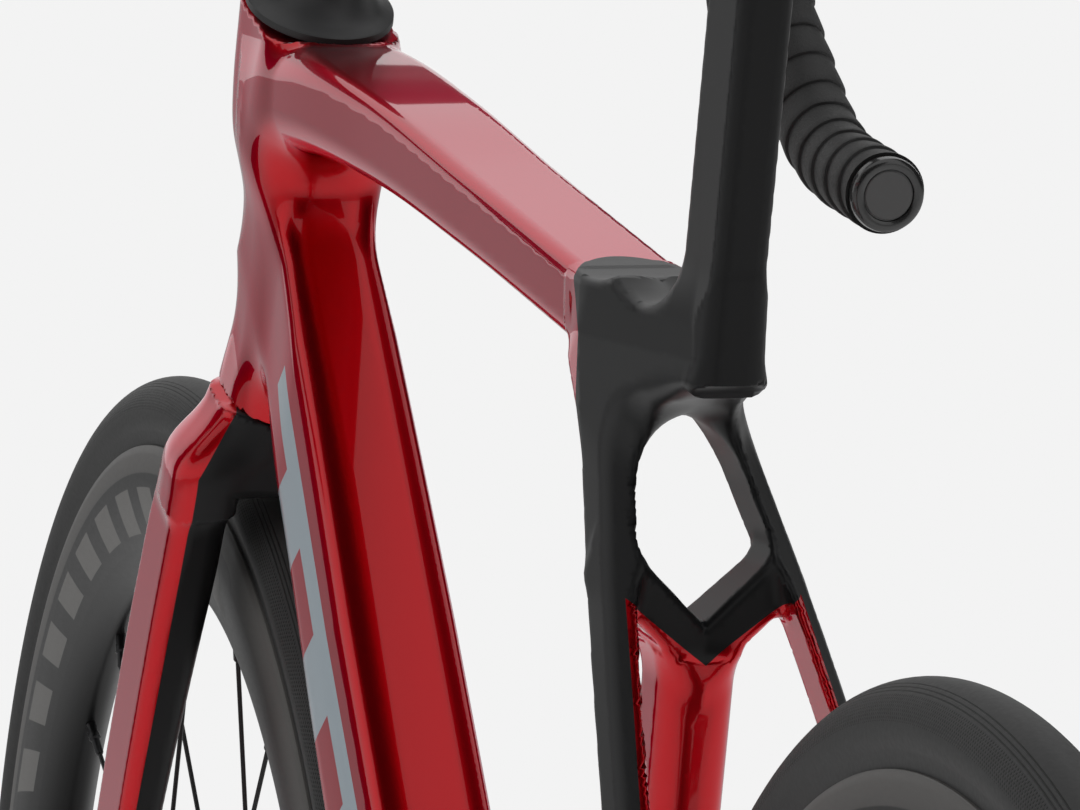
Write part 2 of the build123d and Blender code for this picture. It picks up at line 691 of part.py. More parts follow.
# The thru axles pass through both dropouts and the hub.
thru_axles = {}
for wheel, axle, spacing in (("front", front_axle, front_spacing), ("rear", rear_axle, rear_spacing)):
    end = spacing / 2 + dropout_thickness
    with BuildPart() as thru_axle:
        drum(axle, -end, end, axle_radius)
        drum(axle, end, end + 2.5, axle_radius + 3)
    thru_axles[wheel] = thru_axle.part

# ================================================================ drivetrain
# The cassette's cogs turn on the rear hub's barrel, the largest next to the spokes.
first_cog = -chain_line - cog_in_use * cog_spacing
last_cog = first_cog + (len(cog_teeth) - 1) * cog_spacing
cassette_bore = hub_end_radius + pin_clearance
with BuildPart() as cassette:
    drum(rear_axle, first_cog - 3, last_cog + tooth_thickness, 17.0)
    for index, teeth in enumerate(cog_teeth):
        cog_side = first_cog + index * cog_spacing
        with BuildSketch(Plane(origin=(rear_axle.X, cog_side - tooth_thickness / 2, rear_axle.Z),
                               x_dir=(1, 0, 0), z_dir=(0, 1, 0))):
            Polygon(*toothed_outline(teeth), align=None)
        extrude(amount=tooth_thickness)
    drum(rear_axle, first_cog - 5, last_cog + 5, cassette_bore, Mode.SUBTRACT)

# Two chainrings sit on four bosses of the spider.
bolt_circle = 55.0
with BuildPart() as chainrings:
    for teeth, ring_side in ((ring_teeth, -chain_line), (inner_ring_teeth, -chain_line + ring_spacing)):
        with BuildSketch(Plane(origin=(bracket.X, ring_side - tooth_thickness / 2, bracket.Z),
                               x_dir=(1, 0, 0), z_dir=(0, 1, 0))):
            Polygon(*toothed_outline(teeth), align=None)
            Circle(bolt_circle - 7, mode=Mode.SUBTRACT)
        extrude(amount=tooth_thickness)
    for turn in (45, 135, 225, 315):
        boss = on_wheel(bracket, bolt_circle, turn, 0)
        drum(boss, -chain_line + ring_spacing + tooth_thickness, -chain_line - 5.5, 6.0)

# The arms carry the pedals, the right one also the spider, and a spindle joins them.
spider_side = -chain_line - 5.5
arm_inside = crank_arm_outside - crank_arm_thickness
with BuildPart() as crank_spindle:
    drum(bracket, -arm_inside, arm_inside, spindle_radius)

crank_arms = {}
for side, sign in sides():
    arm_turn = 180 if sign > 0 else 0
    arm_end = on_wheel(bracket, crank_length, arm_turn, 0)
    with BuildPart() as crank_arm:
        loft([arm_slice(bracket, sign, 30.0), arm_slice(arm_end, sign, 24.0)])
        drum(bracket, sign * arm_inside, sign * crank_arm_outside, 19.0)
        drum(arm_end, sign * arm_inside, sign * crank_arm_outside, 14.0)
        if sign < 0:
            drum(bracket, spider_side, -arm_inside, 26.0)
            for turn in (45, 135, 225, 315):
                arm_foot = on_wheel(bracket, bolt_circle / 2, turn, spider_side)
                with BuildSketch(Plane(origin=arm_foot, x_dir=(cos(radians(turn)), 0, sin(radians(turn))),
                                       z_dir=(0, -1, 0))):
                    RectangleRounded(bolt_circle + 14, 14.0, 6.0)
                extrude(amount=5.0)
            drum(bracket, 0, -arm_inside, spindle_radius, Mode.SUBTRACT)
        drum(arm_end, sign * (arm_inside - 1), sign * (crank_arm_outside + 1),
             pedal_thread_radius, Mode.SUBTRACT)
    crank_arms[side] = crank_arm.part

# The chain runs round the outer ring, both pulleys and the cog in use, all in one plane.
guide_pulley = rear_axle + Vector(12.0, 0, -64.0)
tension_pulley = guide_pulley + Vector(16.0, 0, -54.0)
chain_stops = (
    # middle, pitch radius, turn: 1 anticlockwise, -1 clockwise as seen with +X to the right
    (bracket, pitch_radius(ring_teeth), -1),
    (tension_pulley, pitch_radius(pulley_teeth), -1),
    (guide_pulley, pitch_radius(pulley_teeth), 1),
    (rear_axle, pitch_radius(cog_teeth[cog_in_use]), -1),
)


def tangent(start, stop):
    """The angle of travel of the straight run from one chain stop to the next."""
    gap_x = stop[0].X - start[0].X
    gap_z = stop[0].Z - start[0].Z
    lead = (start[2] * start[1] - stop[2] * stop[1]) / hypot(gap_x, gap_z)
    return atan2(gap_z, gap_x) + asin(lead)


def leaving_point(stop, angle):
    """Where a run that travels at this angle touches a chain stop."""
    return (stop[0].X + stop[2] * stop[1] * sin(angle), stop[0].Z - stop[2] * stop[1] * cos(angle))


def chain_spans():
    """The chain's middle line: arcs round each stop and the straight runs between them."""
    spans = []
    for index, stop in enumerate(chain_stops):
        before = tangent(chain_stops[index - 1], stop)
        following = chain_stops[(index + 1) % len(chain_stops)]
        after = tangent(stop, following)
        swing = (after - before) * stop[2] % (2 * pi)
        spans.append(("arc", stop, before, stop[1] * swing))
        touch = leaving_point(stop, after)
        end = leaving_point(following, after)
        spans.append(("run", touch, after, hypot(end[0] - touch[0], end[1] - touch[1])))
    return spans


def on_chain(spans, distance):
    """The place and angle of travel at a distance along the chain."""
    for kind, anchor, angle, length in spans:
        if distance <= length:
            break
        distance -= length
    if kind == "arc":
        angle += anchor[2] * distance / anchor[1]
        place = leaving_point(anchor, angle)
    else:
        place = (anchor[0] + distance * cos(angle), anchor[1] + distance * sin(angle))
    return place, angle, kind


spans = chain_spans()
chain_length = sum(span[3] for span in spans)
half_links = 2 * round(chain_length / chain_pitch)
half_pitch = chain_length / half_links
outer_edge = []
inner_edge = []
for index in range(half_links):
    (place_x, place_z), angle, kind = on_chain(spans, index * half_pitch)
    half_height = plate_half_height if index % 2 == 0 else plate_half_waist
    outer_edge.append((place_x - half_height * sin(angle), place_z + half_height * cos(angle)))
    inner_edge.append((place_x + half_height * sin(angle), place_z - half_height * cos(angle)))
plate_thickness = (chain_width - chain_channel) / 2
free_of_teeth = 40.0  # pins are drawn this far from a sprocket's tangent points
pin_places = []
for kind, anchor, angle, length in spans:
    pins = int((length - 2 * free_of_teeth) / (2 * chain_pitch)) if kind == "run" else -1
    for pin in range(pins + 1):
        distance = free_of_teeth + pin * 2 * chain_pitch
        pin_places.append((anchor[0] + distance * cos(angle), anchor[1] + distance * sin(angle)))
with BuildPart() as chain:
    for plate_side in (-chain_line - chain_width / 2, -chain_line + chain_channel / 2):
        with BuildSketch(Plane(origin=(0, plate_side + plate_thickness, 0), x_dir=(1, 0, 0),
                               z_dir=(0, -1, 0))):
            Polygon(*outer_edge, align=None)
            Polygon(*inner_edge, align=None, mode=Mode.SUBTRACT)
        extrude(amount=plate_thickness)
    with BuildSketch(Plane(origin=(0, -chain_line + chain_channel / 2, 0), x_dir=(1, 0, 0),
                           z_dir=(0, -1, 0))):
        with Locations(*pin_places):
            RegularPolygon(2.6, 6)
    extrude(amount=chain_channel)

# The hanger bolts to the right dropout and holds the rear derailleur.
hanger_foot = rear_axle + Vector(-8.0, 0, -28.0)
hanger_side = -rear_spacing / 2
with BuildPart() as derailleur_hanger:
    link_plate(rear_axle, hanger_foot, 10.0, hanger_side - 1, hanger_side - 8)
    add(chainstays["right"], mode=Mode.SUBTRACT)
    add(seat_stays["right"], mode=Mode.SUBTRACT)
    drum(rear_axle, -rear_spacing, rear_spacing, dropout_radius, Mode.SUBTRACT)

cage_gap = 8.0
cage_plate = 1.6
with BuildPart() as rear_derailleur:
    link_plate(hanger_foot, guide_pulley, 11.0, hanger_side - 8, hanger_side - 20)
    drum(guide_pulley, -chain_line - cage_gap / 2, hanger_side - 8, 10.0)
    for inner, outer in ((-chain_line + cage_gap / 2, -chain_line + cage_gap / 2 + cage_plate),
                         (-chain_line - cage_gap / 2 - cage_plate, -chain_line - cage_gap / 2)):
        link_plate(guide_pulley, tension_pulley, 11.0, inner, outer)
    for pulley in (guide_pulley, tension_pulley):
        drum(pulley, -chain_line - cage_gap / 2, -chain_line + cage_gap / 2, 5.0)
        with BuildSketch(Plane(origin=(pulley.X, -chain_line - pulley_thickness / 2, pulley.Z),
                               x_dir=(1, 0, 0), z_dir=(0, 1, 0))):
            Polygon(*toothed_outline(pulley_teeth), align=None)
        extrude(amount=pulley_thickness)

# The front derailleur's cage hangs over the outer ring from the seat tube's right side.
cage_inside = pitch_radius(ring_teeth) + 8
cage_outside = cage_inside + 22
with BuildPart() as front_derailleur:
    for cage_side in (-chain_line - 6.5, -chain_line + 5.0):
        with BuildSketch(Plane(origin=(bracket.X, cage_side + 1.5, bracket.Z), x_dir=(1, 0, 0),
                               z_dir=(0, -1, 0))):
            with BuildLine():
                CenterArc((0, 0), cage_inside, 68, 42)
                CenterArc((0, 0), cage_outside, 68, 42)
                for angle in (68, 110):
                    PolarLine((cage_inside * cos(radians(angle)), cage_inside * sin(radians(angle))),
                              cage_outside - cage_inside, angle)
            make_face()
        extrude(amount=1.5)
    with BuildSketch(Plane(origin=(bracket.X, -chain_line + 5.0, bracket.Z), x_dir=(1, 0, 0),
                           z_dir=(0, -1, 0))):
        with BuildLine():
            CenterArc((0, 0), cage_outside - 3, 74, 22)
            CenterArc((0, 0), cage_outside, 74, 22)
            for angle in (74, 96):
                PolarLine(((cage_outside - 3) * cos(radians(angle)),
                           (cage_outside - 3) * sin(radians(angle))), 3, angle)
        make_face()
    extrude(amount=10.0)
    derailleur_foot = up_seat(cage_outside * seat_sin - 4, 4.0)
    drum(derailleur_foot, 0, -chain_line + 6.5, 12.0)
    add(seat_tube.part, mode=Mode.SUBTRACT)

# ================================================================ files
for name, piece in (
        ("head_tube", head_tube.part), ("down_tube", down_tube.part), ("top_tube", top_tube.part),
        ("seat_cluster", seat_cluster.part), ("seat_tube", seat_tube.part),
        ("bottom_bracket_shell", bottom_bracket_shell.part), ("seat_post", seat_post.part),
        ("saddle_clamp", saddle_clamp.part), ("saddle_rails", saddle_rails.part),
        ("saddle", saddle.part), ("fork", fork.part), ("headset_cover", headset_cover.part),
        ("handlebar", handlebar.part), ("cassette", cassette.part), ("chainrings", chainrings.part),
        ("crank_spindle", crank_spindle.part),
        ("chain", chain.part), ("derailleur_hanger", derailleur_hanger.part),
        ("rear_derailleur", rear_derailleur.part), ("front_derailleur", front_derailleur.part)):
    save(piece, name)
for side, sign in sides():
    save(chainstays[side], f"{side}_chainstay")
    save(seat_stays[side], f"{side}_seat_stay")
    save(bar_tapes[side], f"{side}_bar_tape")
    save(bar_plugs[side], f"{side}_bar_plug")
    save(brake_levers[side], f"{side}_brake_lever")
    save(crank_arms[side], f"{side}_crank_arm")
for wheel in wheels:
    for piece in wheels[wheel]:
        save(wheels[wheel][piece], f"{wheel}_{piece}")
    save(calipers[wheel], f"{wheel}_brake_caliper")
    save(thru_axles[wheel], f"{wheel}_thru_axle")
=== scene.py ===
# %% [markdown]
# # An aero road bike, dressed in Blender
# The construction model gives every tube, wheel and lever its size and its place. This
# notebook loads that model as a fixed frame and gives it the looks: a seamless carbon frame
# with candy paint, wrapped tape, treaded tyres and a soft saddle. It could all be sculpted
# by hand, but code keeps each piece tied to the frame, so a changed size moves the looks too.

# %% Load the frame
import json
import math

import bmesh
import bpy
import numpy as np
from mathutils import Matrix, Vector


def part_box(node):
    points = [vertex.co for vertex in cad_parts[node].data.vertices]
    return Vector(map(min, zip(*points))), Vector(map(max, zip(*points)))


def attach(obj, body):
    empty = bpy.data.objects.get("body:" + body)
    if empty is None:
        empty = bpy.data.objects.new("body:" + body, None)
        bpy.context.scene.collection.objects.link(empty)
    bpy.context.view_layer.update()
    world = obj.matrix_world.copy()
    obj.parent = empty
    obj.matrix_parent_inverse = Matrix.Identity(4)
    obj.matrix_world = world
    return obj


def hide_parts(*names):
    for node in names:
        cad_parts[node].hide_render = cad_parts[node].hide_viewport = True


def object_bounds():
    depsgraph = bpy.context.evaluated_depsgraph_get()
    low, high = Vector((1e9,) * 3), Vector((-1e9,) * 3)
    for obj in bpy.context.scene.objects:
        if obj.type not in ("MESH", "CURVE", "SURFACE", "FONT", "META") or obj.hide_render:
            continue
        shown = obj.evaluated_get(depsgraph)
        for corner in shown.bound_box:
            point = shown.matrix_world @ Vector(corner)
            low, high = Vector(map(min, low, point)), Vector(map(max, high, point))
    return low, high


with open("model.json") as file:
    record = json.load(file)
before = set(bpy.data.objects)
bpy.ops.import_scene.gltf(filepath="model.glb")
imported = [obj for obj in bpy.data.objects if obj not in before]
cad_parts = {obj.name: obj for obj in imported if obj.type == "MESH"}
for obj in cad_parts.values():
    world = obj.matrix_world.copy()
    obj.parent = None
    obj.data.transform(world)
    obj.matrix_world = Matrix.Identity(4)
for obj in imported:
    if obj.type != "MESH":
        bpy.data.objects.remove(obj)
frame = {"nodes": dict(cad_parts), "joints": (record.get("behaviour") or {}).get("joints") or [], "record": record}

cad_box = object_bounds()
print("the construction box runs from", cad_box[0], "to", cad_box[1])

# %% Find the axles and the steering axis
millimetre = 0.001
joint_at = {joint["name"]: np.array(joint["pos_m"]) for joint in frame["joints"]}
bracket = joint_at["crank_spin"]
head_top = joint_at["steering_turn"]
rear_axle = joint_at["rear_wheel_spin"]
front_axle = joint_at["front_wheel_spin"]
steer_axis = np.array(next(joint["axis"] for joint in frame["joints"]
                           if joint["name"] == "steering_turn"))


def from_bracket(place):
    """A place in millimetres from the bottom bracket."""
    return (np.asarray(place) - bracket) / millimetre


def to_metres(points):
    """Points in millimetres from the bottom bracket, as scene coordinates."""
    return np.asarray(points) * millimetre + bracket


print("head tube top", from_bracket(head_top).round(1),
      "rear axle", from_bracket(rear_axle).round(1))

# %% [markdown]
# ## The camera
# A long lens far behind the bike, a little above the top tube and to its left, flattens the
# perspective: the down tube, the seat cluster and both wheels overlap as broad shapes. A
# short lens close by would make the rear wheel swallow the frame. The camera is placed from
# the bottom bracket, turned by a heading and a tilt, as a tripod head is.

# %% Place the camera
view_place = to_metres((-2979.5, 816.8, 739.4))
view_heading = math.radians(-14.985)
view_tilt = math.radians(-5.249)
view_roll = math.radians(0.452)
view_lens = 319.8

view_line = Vector((math.cos(view_tilt) * math.cos(view_heading),
                    math.cos(view_tilt) * math.sin(view_heading), math.sin(view_tilt)))
camera_data = bpy.data.cameras.new("view")
camera_data.lens = view_lens
camera_data.sensor_width = 36.0
camera_data.clip_end = 100.0
camera = bpy.data.objects.new("view", camera_data)
bpy.context.scene.collection.objects.link(camera)
camera.rotation_mode = "QUATERNION"
camera.rotation_quaternion = (view_line.to_track_quat("-Z", "Y")
                              @ Matrix.Rotation(view_roll, 4, "Z").to_quaternion())
camera.location = view_place
bpy.context.scene.camera = camera
bpy.context.scene.view_settings.view_transform = "Standard"
print("the camera looks along", view_line)

# %% [markdown]
# ## A plain studio
# Gloss paint is only as good as what it mirrors. In a studio a bike stands between big soft
# boxes, with dark gaps between them that draw its edges. Small lamps would give dots instead
# of long smooth bands. So there is one wide lamp above and one along each side. What the
# paint mirrors is the pale backdrop, and the dark flags stand where only reflections find
# them, as black cards do.

# %% Lamps
floor_height = cad_box[0][2]
middle_height = 0.65
bike_middle = Vector(((cad_box[0][0] + cad_box[1][0]) / 2, 0.0, floor_height + middle_height))


def soft_lamp(name, place, size, watts):
    """A rectangular lamp that faces the bike."""
    data = bpy.data.lights.new(name, "AREA")
    data.shape = "RECTANGLE"
    data.size, data.size_y = size
    data.energy = watts
    lamp = bpy.data.objects.new(name, data)
    lamp.location = place
    lamp.rotation_mode = "QUATERNION"
    lamp.rotation_quaternion = (bike_middle - Vector(place)).to_track_quat("-Z", "Y")
    bpy.context.scene.collection.objects.link(lamp)
    return lamp


def dark_flag(name, place, size):
    """A black card that only reflections find."""
    bpy.ops.mesh.primitive_plane_add(size=1.0, location=place)
    card = bpy.context.object
    card.name = name
    card.scale = (*size, 1.0)
    card.rotation_mode = "QUATERNION"
    card.rotation_quaternion = (bike_middle - Vector(place)).to_track_quat("Z", "Y")
    card.visible_camera = card.visible_diffuse = card.visible_shadow = False
    return card


lamps = [
    soft_lamp("lamp_above", (0.2, 0.0, 2.6), (3.4, 1.4), 60.0),
    soft_lamp("lamp_left", (0.6, 3.4, 1.2), (3.4, 1.6), 26.0),
    soft_lamp("lamp_right", (0.6, -3.2, 1.2), (3.0, 1.6), 26.0),
]
for lamp in lamps:
    lamp.visible_glossy = False
flags = [
    dark_flag("flag_behind", (-4.5, 0.6, 0.6), (5.0, 3.6)),
    dark_flag("flag_left", (3.0, 1.7, -0.1), (0.9, 3.0)),
    dark_flag("flag_right", (-0.6, -3.4, 0.6), (3.0, 2.6)),
    dark_flag("flag_above_left", (-0.3, 1.5, 2.1), (2.6, 3.2)),
    dark_flag("flag_above_right", (-0.3, -2.9, 1.9), (2.6, 3.0)),
    dark_flag("flag_ahead", (3.4, -3.4, 1.5), (2.4, 3.0)),
]
print(len(lamps), "soft lamps and", len(flags), "dark flags")

# %% [markdown]
# ## Finishes written as sums
# Paint edges, grooves and dots are all questions of distance: how far is this point from a
# line? A painted image could answer that, but only as finely as its dots. Here each finish
# reckons it from the place of the point, in millimetres, so every edge stays sharp close by.
# The helper below lets a socket be added and multiplied like a number.

# %% The shader helper: a socket that knows arithmetic
class Wire:
    """A value on its way between two shader nodes."""

    def __init__(self, socket):
        self.socket = socket

    def node(self, kind, settings=(), values=(), output=0):
        """Add a node beside this one, set it up, and return one of its outputs."""
        made = self.socket.id_data.nodes.new("ShaderNode" + kind)
        for name, setting in dict(settings).items():
            setattr(made, name, setting)
        for name, value in dict(values).items():
            if isinstance(value, Wire):
                self.socket.id_data.links.new(value.socket, made.inputs[name])
            else:
                made.inputs[name].default_value = value
        return Wire(made.outputs[output])

    def math(self, operation, *values):
        """The result of a Math node that starts with this value."""
        return self.node("Math", {"operation": operation}, dict(enumerate((self, *values))))

    def __add__(self, other): return self.math("ADD", other)
    def __sub__(self, other): return self.math("SUBTRACT", other)
    def __mul__(self, other): return self.math("MULTIPLY", other)
    def __truediv__(self, other): return self.math("DIVIDE", other)
    def __pow__(self, other): return self.math("POWER", other)
    def __gt__(self, other): return self.math("GREATER_THAN", other)
    def __lt__(self, other): return self.math("LESS_THAN", other)
    def __mod__(self, other): return self.math("FLOORED_MODULO", other)
    def __rsub__(self, other): return (self * -1.0) + other
    __radd__ = __add__
    __rmul__ = __mul__

    def absolute(self): return self.math("ABSOLUTE")
    def least(self, other): return self.math("MINIMUM", other)
    def most(self, other): return self.math("MAXIMUM", other)

    def hypot(self, other):
        """The length of a step this far one way and that far the other."""
        return (self ** 2.0 + other ** 2.0) ** 0.5

    def edge(self, blur):
        """0 below zero and 1 above it, with a soft edge a blur wide each way."""
        return self.ramp(-blur, blur)

    def ramp(self, start, stop):
        """0 below start, 1 above stop, and smooth between."""
        return self.node("MapRange", {"interpolation_type": "SMOOTHSTEP"},
                         {"Value": self, "From Min": start, "From Max": stop})

    def mix(self, low, high):
        """One colour where this is 0 and another where it is 1."""
        return self.node("Mix", {"data_type": "RGBA"},
                         {"Factor": self, 6: colour(low), 7: colour(high)}, output=2)


def colour(value):
    """A colour for a socket: a wire as it is, or three numbers with an opaque alpha."""
    return value if isinstance(value, Wire) else (*value, 1.0)


# %% One finish: its name, its shader and the place on the bike
class Finish:
    """A material, with the place of each point in millimetres from a middle."""

    def __init__(self, name, about=bracket):
        self.material = bpy.data.materials.new(name)
        self.material.use_nodes = True
        self.tree = self.material.node_tree
        self.shader = self.tree.nodes["Principled BSDF"]
        self.start = self.surface = Wire(self.shader.outputs[0])
        object_place = self.start.node("TexCoord", output=3)
        from_middle = self.start.node("VectorMath", {"operation": "SUBTRACT"},
                                      {0: object_place, 1: tuple(about)})
        self.place = self.start.node("VectorMath", {"operation": "SCALE"},
                                     {0: from_middle, "Scale": 1.0 / millimetre})
        split = self.start.node("SeparateXYZ", (), {0: self.place}).socket.node.outputs
        self.x, self.y, self.z = (Wire(split[axis]) for axis in range(3))

    def set(self, **values):
        """Set or link the shader's sockets; an underscore stands for a space."""
        for name, value in values.items():
            socket = self.shader.inputs[name.replace("_", " ")]
            if isinstance(value, Wire):
                self.tree.links.new(value.socket, socket)
            else:
                socket.default_value = value

    def over(self, mask, **values):
        """Lay a further shader over the surface so far where the mask is 1."""
        below = self.surface
        above = below.node("BsdfPrincipled")
        self.shader = above.socket.node
        self.set(**values)
        self.surface = below.node("MixShader", (), {0: mask, 1: below, 2: above})
        self.tree.links.new(self.surface.socket,
                            self.tree.nodes["Material Output"].inputs["Surface"])

    def noise(self, size, detail=3.0, stretch=(1.0, 1.0, 1.0)):
        """Soft noise with features about size millimetres across."""
        stretched = self.start.node("VectorMath", {"operation": "MULTIPLY"},
                                    {0: self.place, 1: stretch})
        return self.start.node("TexNoise", (), {"Vector": stretched, "Scale": 1.0 / size,
                                                "Detail": detail})

    def bump(self, height, distance, strength=1.0):
        """A bump whose height of 1 stands for a distance in metres."""
        return self.start.node("Bump", (), {"Height": height, "Distance": distance,
                                            "Strength": strength})


# %% [markdown]
# ## The backdrop and the floor
# The backdrop is pale paper that rolls forward under the wheels. It could be a bent sheet,
# but then its far part needs light of its own. So the world has one strength for the eye
# and for reflections and a lower one for lighting, and the floor fades into it where the
# bike's shadow has ended. The floor keeps that shadow.

# %% The world, as lamps, camera and reflections see it
backdrop_grey, ambient_grey = 0.896, 0.42
world = bpy.data.worlds.new("studio")
world.use_nodes = True
bpy.context.scene.world = world
background = world.node_tree.nodes["Background"]
rays = Wire(background.outputs[0]).node("LightPath").socket.node.outputs
seen = (Wire(rays["Is Camera Ray"]).most(Wire(rays["Is Glossy Ray"]))
        .most(Wire(rays["Is Transmission Ray"])))
sky_grey = seen * (backdrop_grey - ambient_grey) + ambient_grey
world.node_tree.links.new(sky_grey.socket, background.inputs["Strength"])
background.inputs["Color"].default_value = (1.0, 1.0, 1.0, 1.0)
print("the world is", backdrop_grey, "to the eye and", ambient_grey, "as light")

# %% The floor
floor_reach, between_wheels, fade_start, fade_end = 30.0, 180.0, 900.0, 1900.0
bpy.ops.mesh.primitive_plane_add(size=2 * floor_reach, location=(0, 0, floor_height))
floor = bpy.context.object
floor.name = "floor"
paper = Finish("floor_paper")
paper.set(Base_Color=(backdrop_grey, backdrop_grey, backdrop_grey, 1.0), Roughness=0.9,
          Specular_IOR_Level=0.0)
glow = paper.start.node("Emission", (), {"Color": (1.0, 1.0, 1.0, 1.0),
                                         "Strength": backdrop_grey})
from_wheels = (paper.x - between_wheels).hypot(paper.y)
to_eye = Wire(paper.start.node("LightPath").socket.node.outputs["Is Camera Ray"])
surface = paper.start.node("MixShader", (), {0: from_wheels.ramp(fade_start, fade_end) * to_eye,
                                             1: paper.start, 2: glow})
paper.tree.links.new(surface.socket, paper.tree.nodes["Material Output"].inputs["Surface"])
floor.data.materials.append(paper.material)
print("the floor lies at a height of", round(floor_height, 4), "m")

# %% Black cloth on the flags
for card in flags:
    black = Finish(card.name + "_cloth")
    black.set(Base_Color=(0.004, 0.004, 0.004, 1.0), Roughness=1.0, Specular_IOR_Level=0.0)
    card.data.materials.append(black.material)

# %% [markdown]
# ## One seamless skin
# A carbon frame comes out of its moulds as one shape: no weld, no lug, and a generous fillet
# wherever two tubes meet. Joined solids would show their seams, and a subdivision cage would
# take weeks to keep smooth. So each tube is written as a distance: how far is a point from
# a rounded section that changes along the tube? Two such distances melt together with a
# smooth minimum, which is the fillet, and the surface lies where the distance is zero.

# %% A rounded section, and a tube as a distance
def rounded(past_side, past_depth, corner):
    """The distance to a section's outline, from how far a point is past its straight sides."""
    return (np.hypot(np.maximum(past_side, 0), np.maximum(past_depth, 0))
            + np.minimum(np.maximum(past_side, past_depth), 0) - corner)


class Tube:
    """A tube in the bike's plane, or a pair of tubes beside it.

    Each station is: share of the length, distance out from the middle plane, lift to the
    left of the tube's direction, width, depth, and the corner radii on the two sides. On a
    steep tube the distance out goes by height, so that a pair keeps a flat side.
    """
    steep = 0.5

    def __init__(self, start, end, *stations):
        self.start = np.array(start, float)
        line = np.array(end, float) - self.start
        self.length = np.hypot(*line)
        self.line = line / self.length
        self.lift_line = np.array((-self.line[1], self.line[0]))
        rows = np.array(stations, float)
        shares = rows[:, 0]
        self.dense = np.linspace(shares[0], shares[-1], 201)
        self.tables = [self.smooth(shares, column) for column in rows[:, 1:].T]

    def smooth(self, shares, values):
        """A curve through the stations, without kinks."""
        slopes = np.gradient(values, shares)
        low = np.clip(np.searchsorted(shares, self.dense, side="right") - 1, 0, len(shares) - 2)
        gap = shares[low + 1] - shares[low]
        t = (self.dense - shares[low]) / gap
        rise = values[low + 1] - values[low]
        return (values[low] + rise * t * t * (3 - 2 * t)
                + gap * t * (1 - t) * ((1 - t) * slopes[low] - t * slopes[low + 1]))

    def reach(self, x, z):
        """The way along the tube and the lift from it, of arrays or of wires."""
        dx, dz = x - self.start[0], z - self.start[1]
        return (dx * self.line[0] + dz * self.line[1],
                dx * self.lift_line[0] + dz * self.lift_line[1])

    def out_at(self, height):
        """How far out a steep tube runs, at a height above its start."""
        return np.interp(height / self.line[1] / self.length, self.dense, self.tables[0])

    def __call__(self, x, y, z):
        along, rise = self.reach(x, z)
        out, lift, width, depth, low_corner, high_corner = (
            np.interp(along / self.length, self.dense, table) for table in self.tables)
        if abs(self.line[1]) > self.steep:
            out = self.out_at(z - self.start[1])
        rise = rise - lift
        corner = np.where(rise > 0, high_corner, low_corner)
        section = rounded(np.abs(np.abs(y) - out) - width / 2 + corner,
                          np.abs(rise) - depth / 2 + corner, corner)
        return np.maximum(section, np.maximum(-along, along - self.length))


def melt(first, second, reach):
    """A smooth minimum: two shapes joined by a fillet about as wide as reach."""
    overlap = np.maximum(reach - np.abs(first - second), 0) / reach
    return np.minimum(first, second) - overlap * overlap * reach / 4


def carve(shape, tool, reach):
    """Take a tool away from a shape, with its edge rounded by reach."""
    return -melt(-shape, tool, reach)


# %% [markdown]
# ## From a distance to a mesh
# Space is cut into small cells. Each cell that the surface crosses gets one point, in the
# middle of the crossings on its edges, and each crossed edge joins the points of the four
# cells round it with a quad. Marching cubes would do as well, but it leaves thin triangles
# where these squares stay even. The points then settle onto the exact surface, and the
# normals come from the distance itself, so highlights run smoothly over the quads.

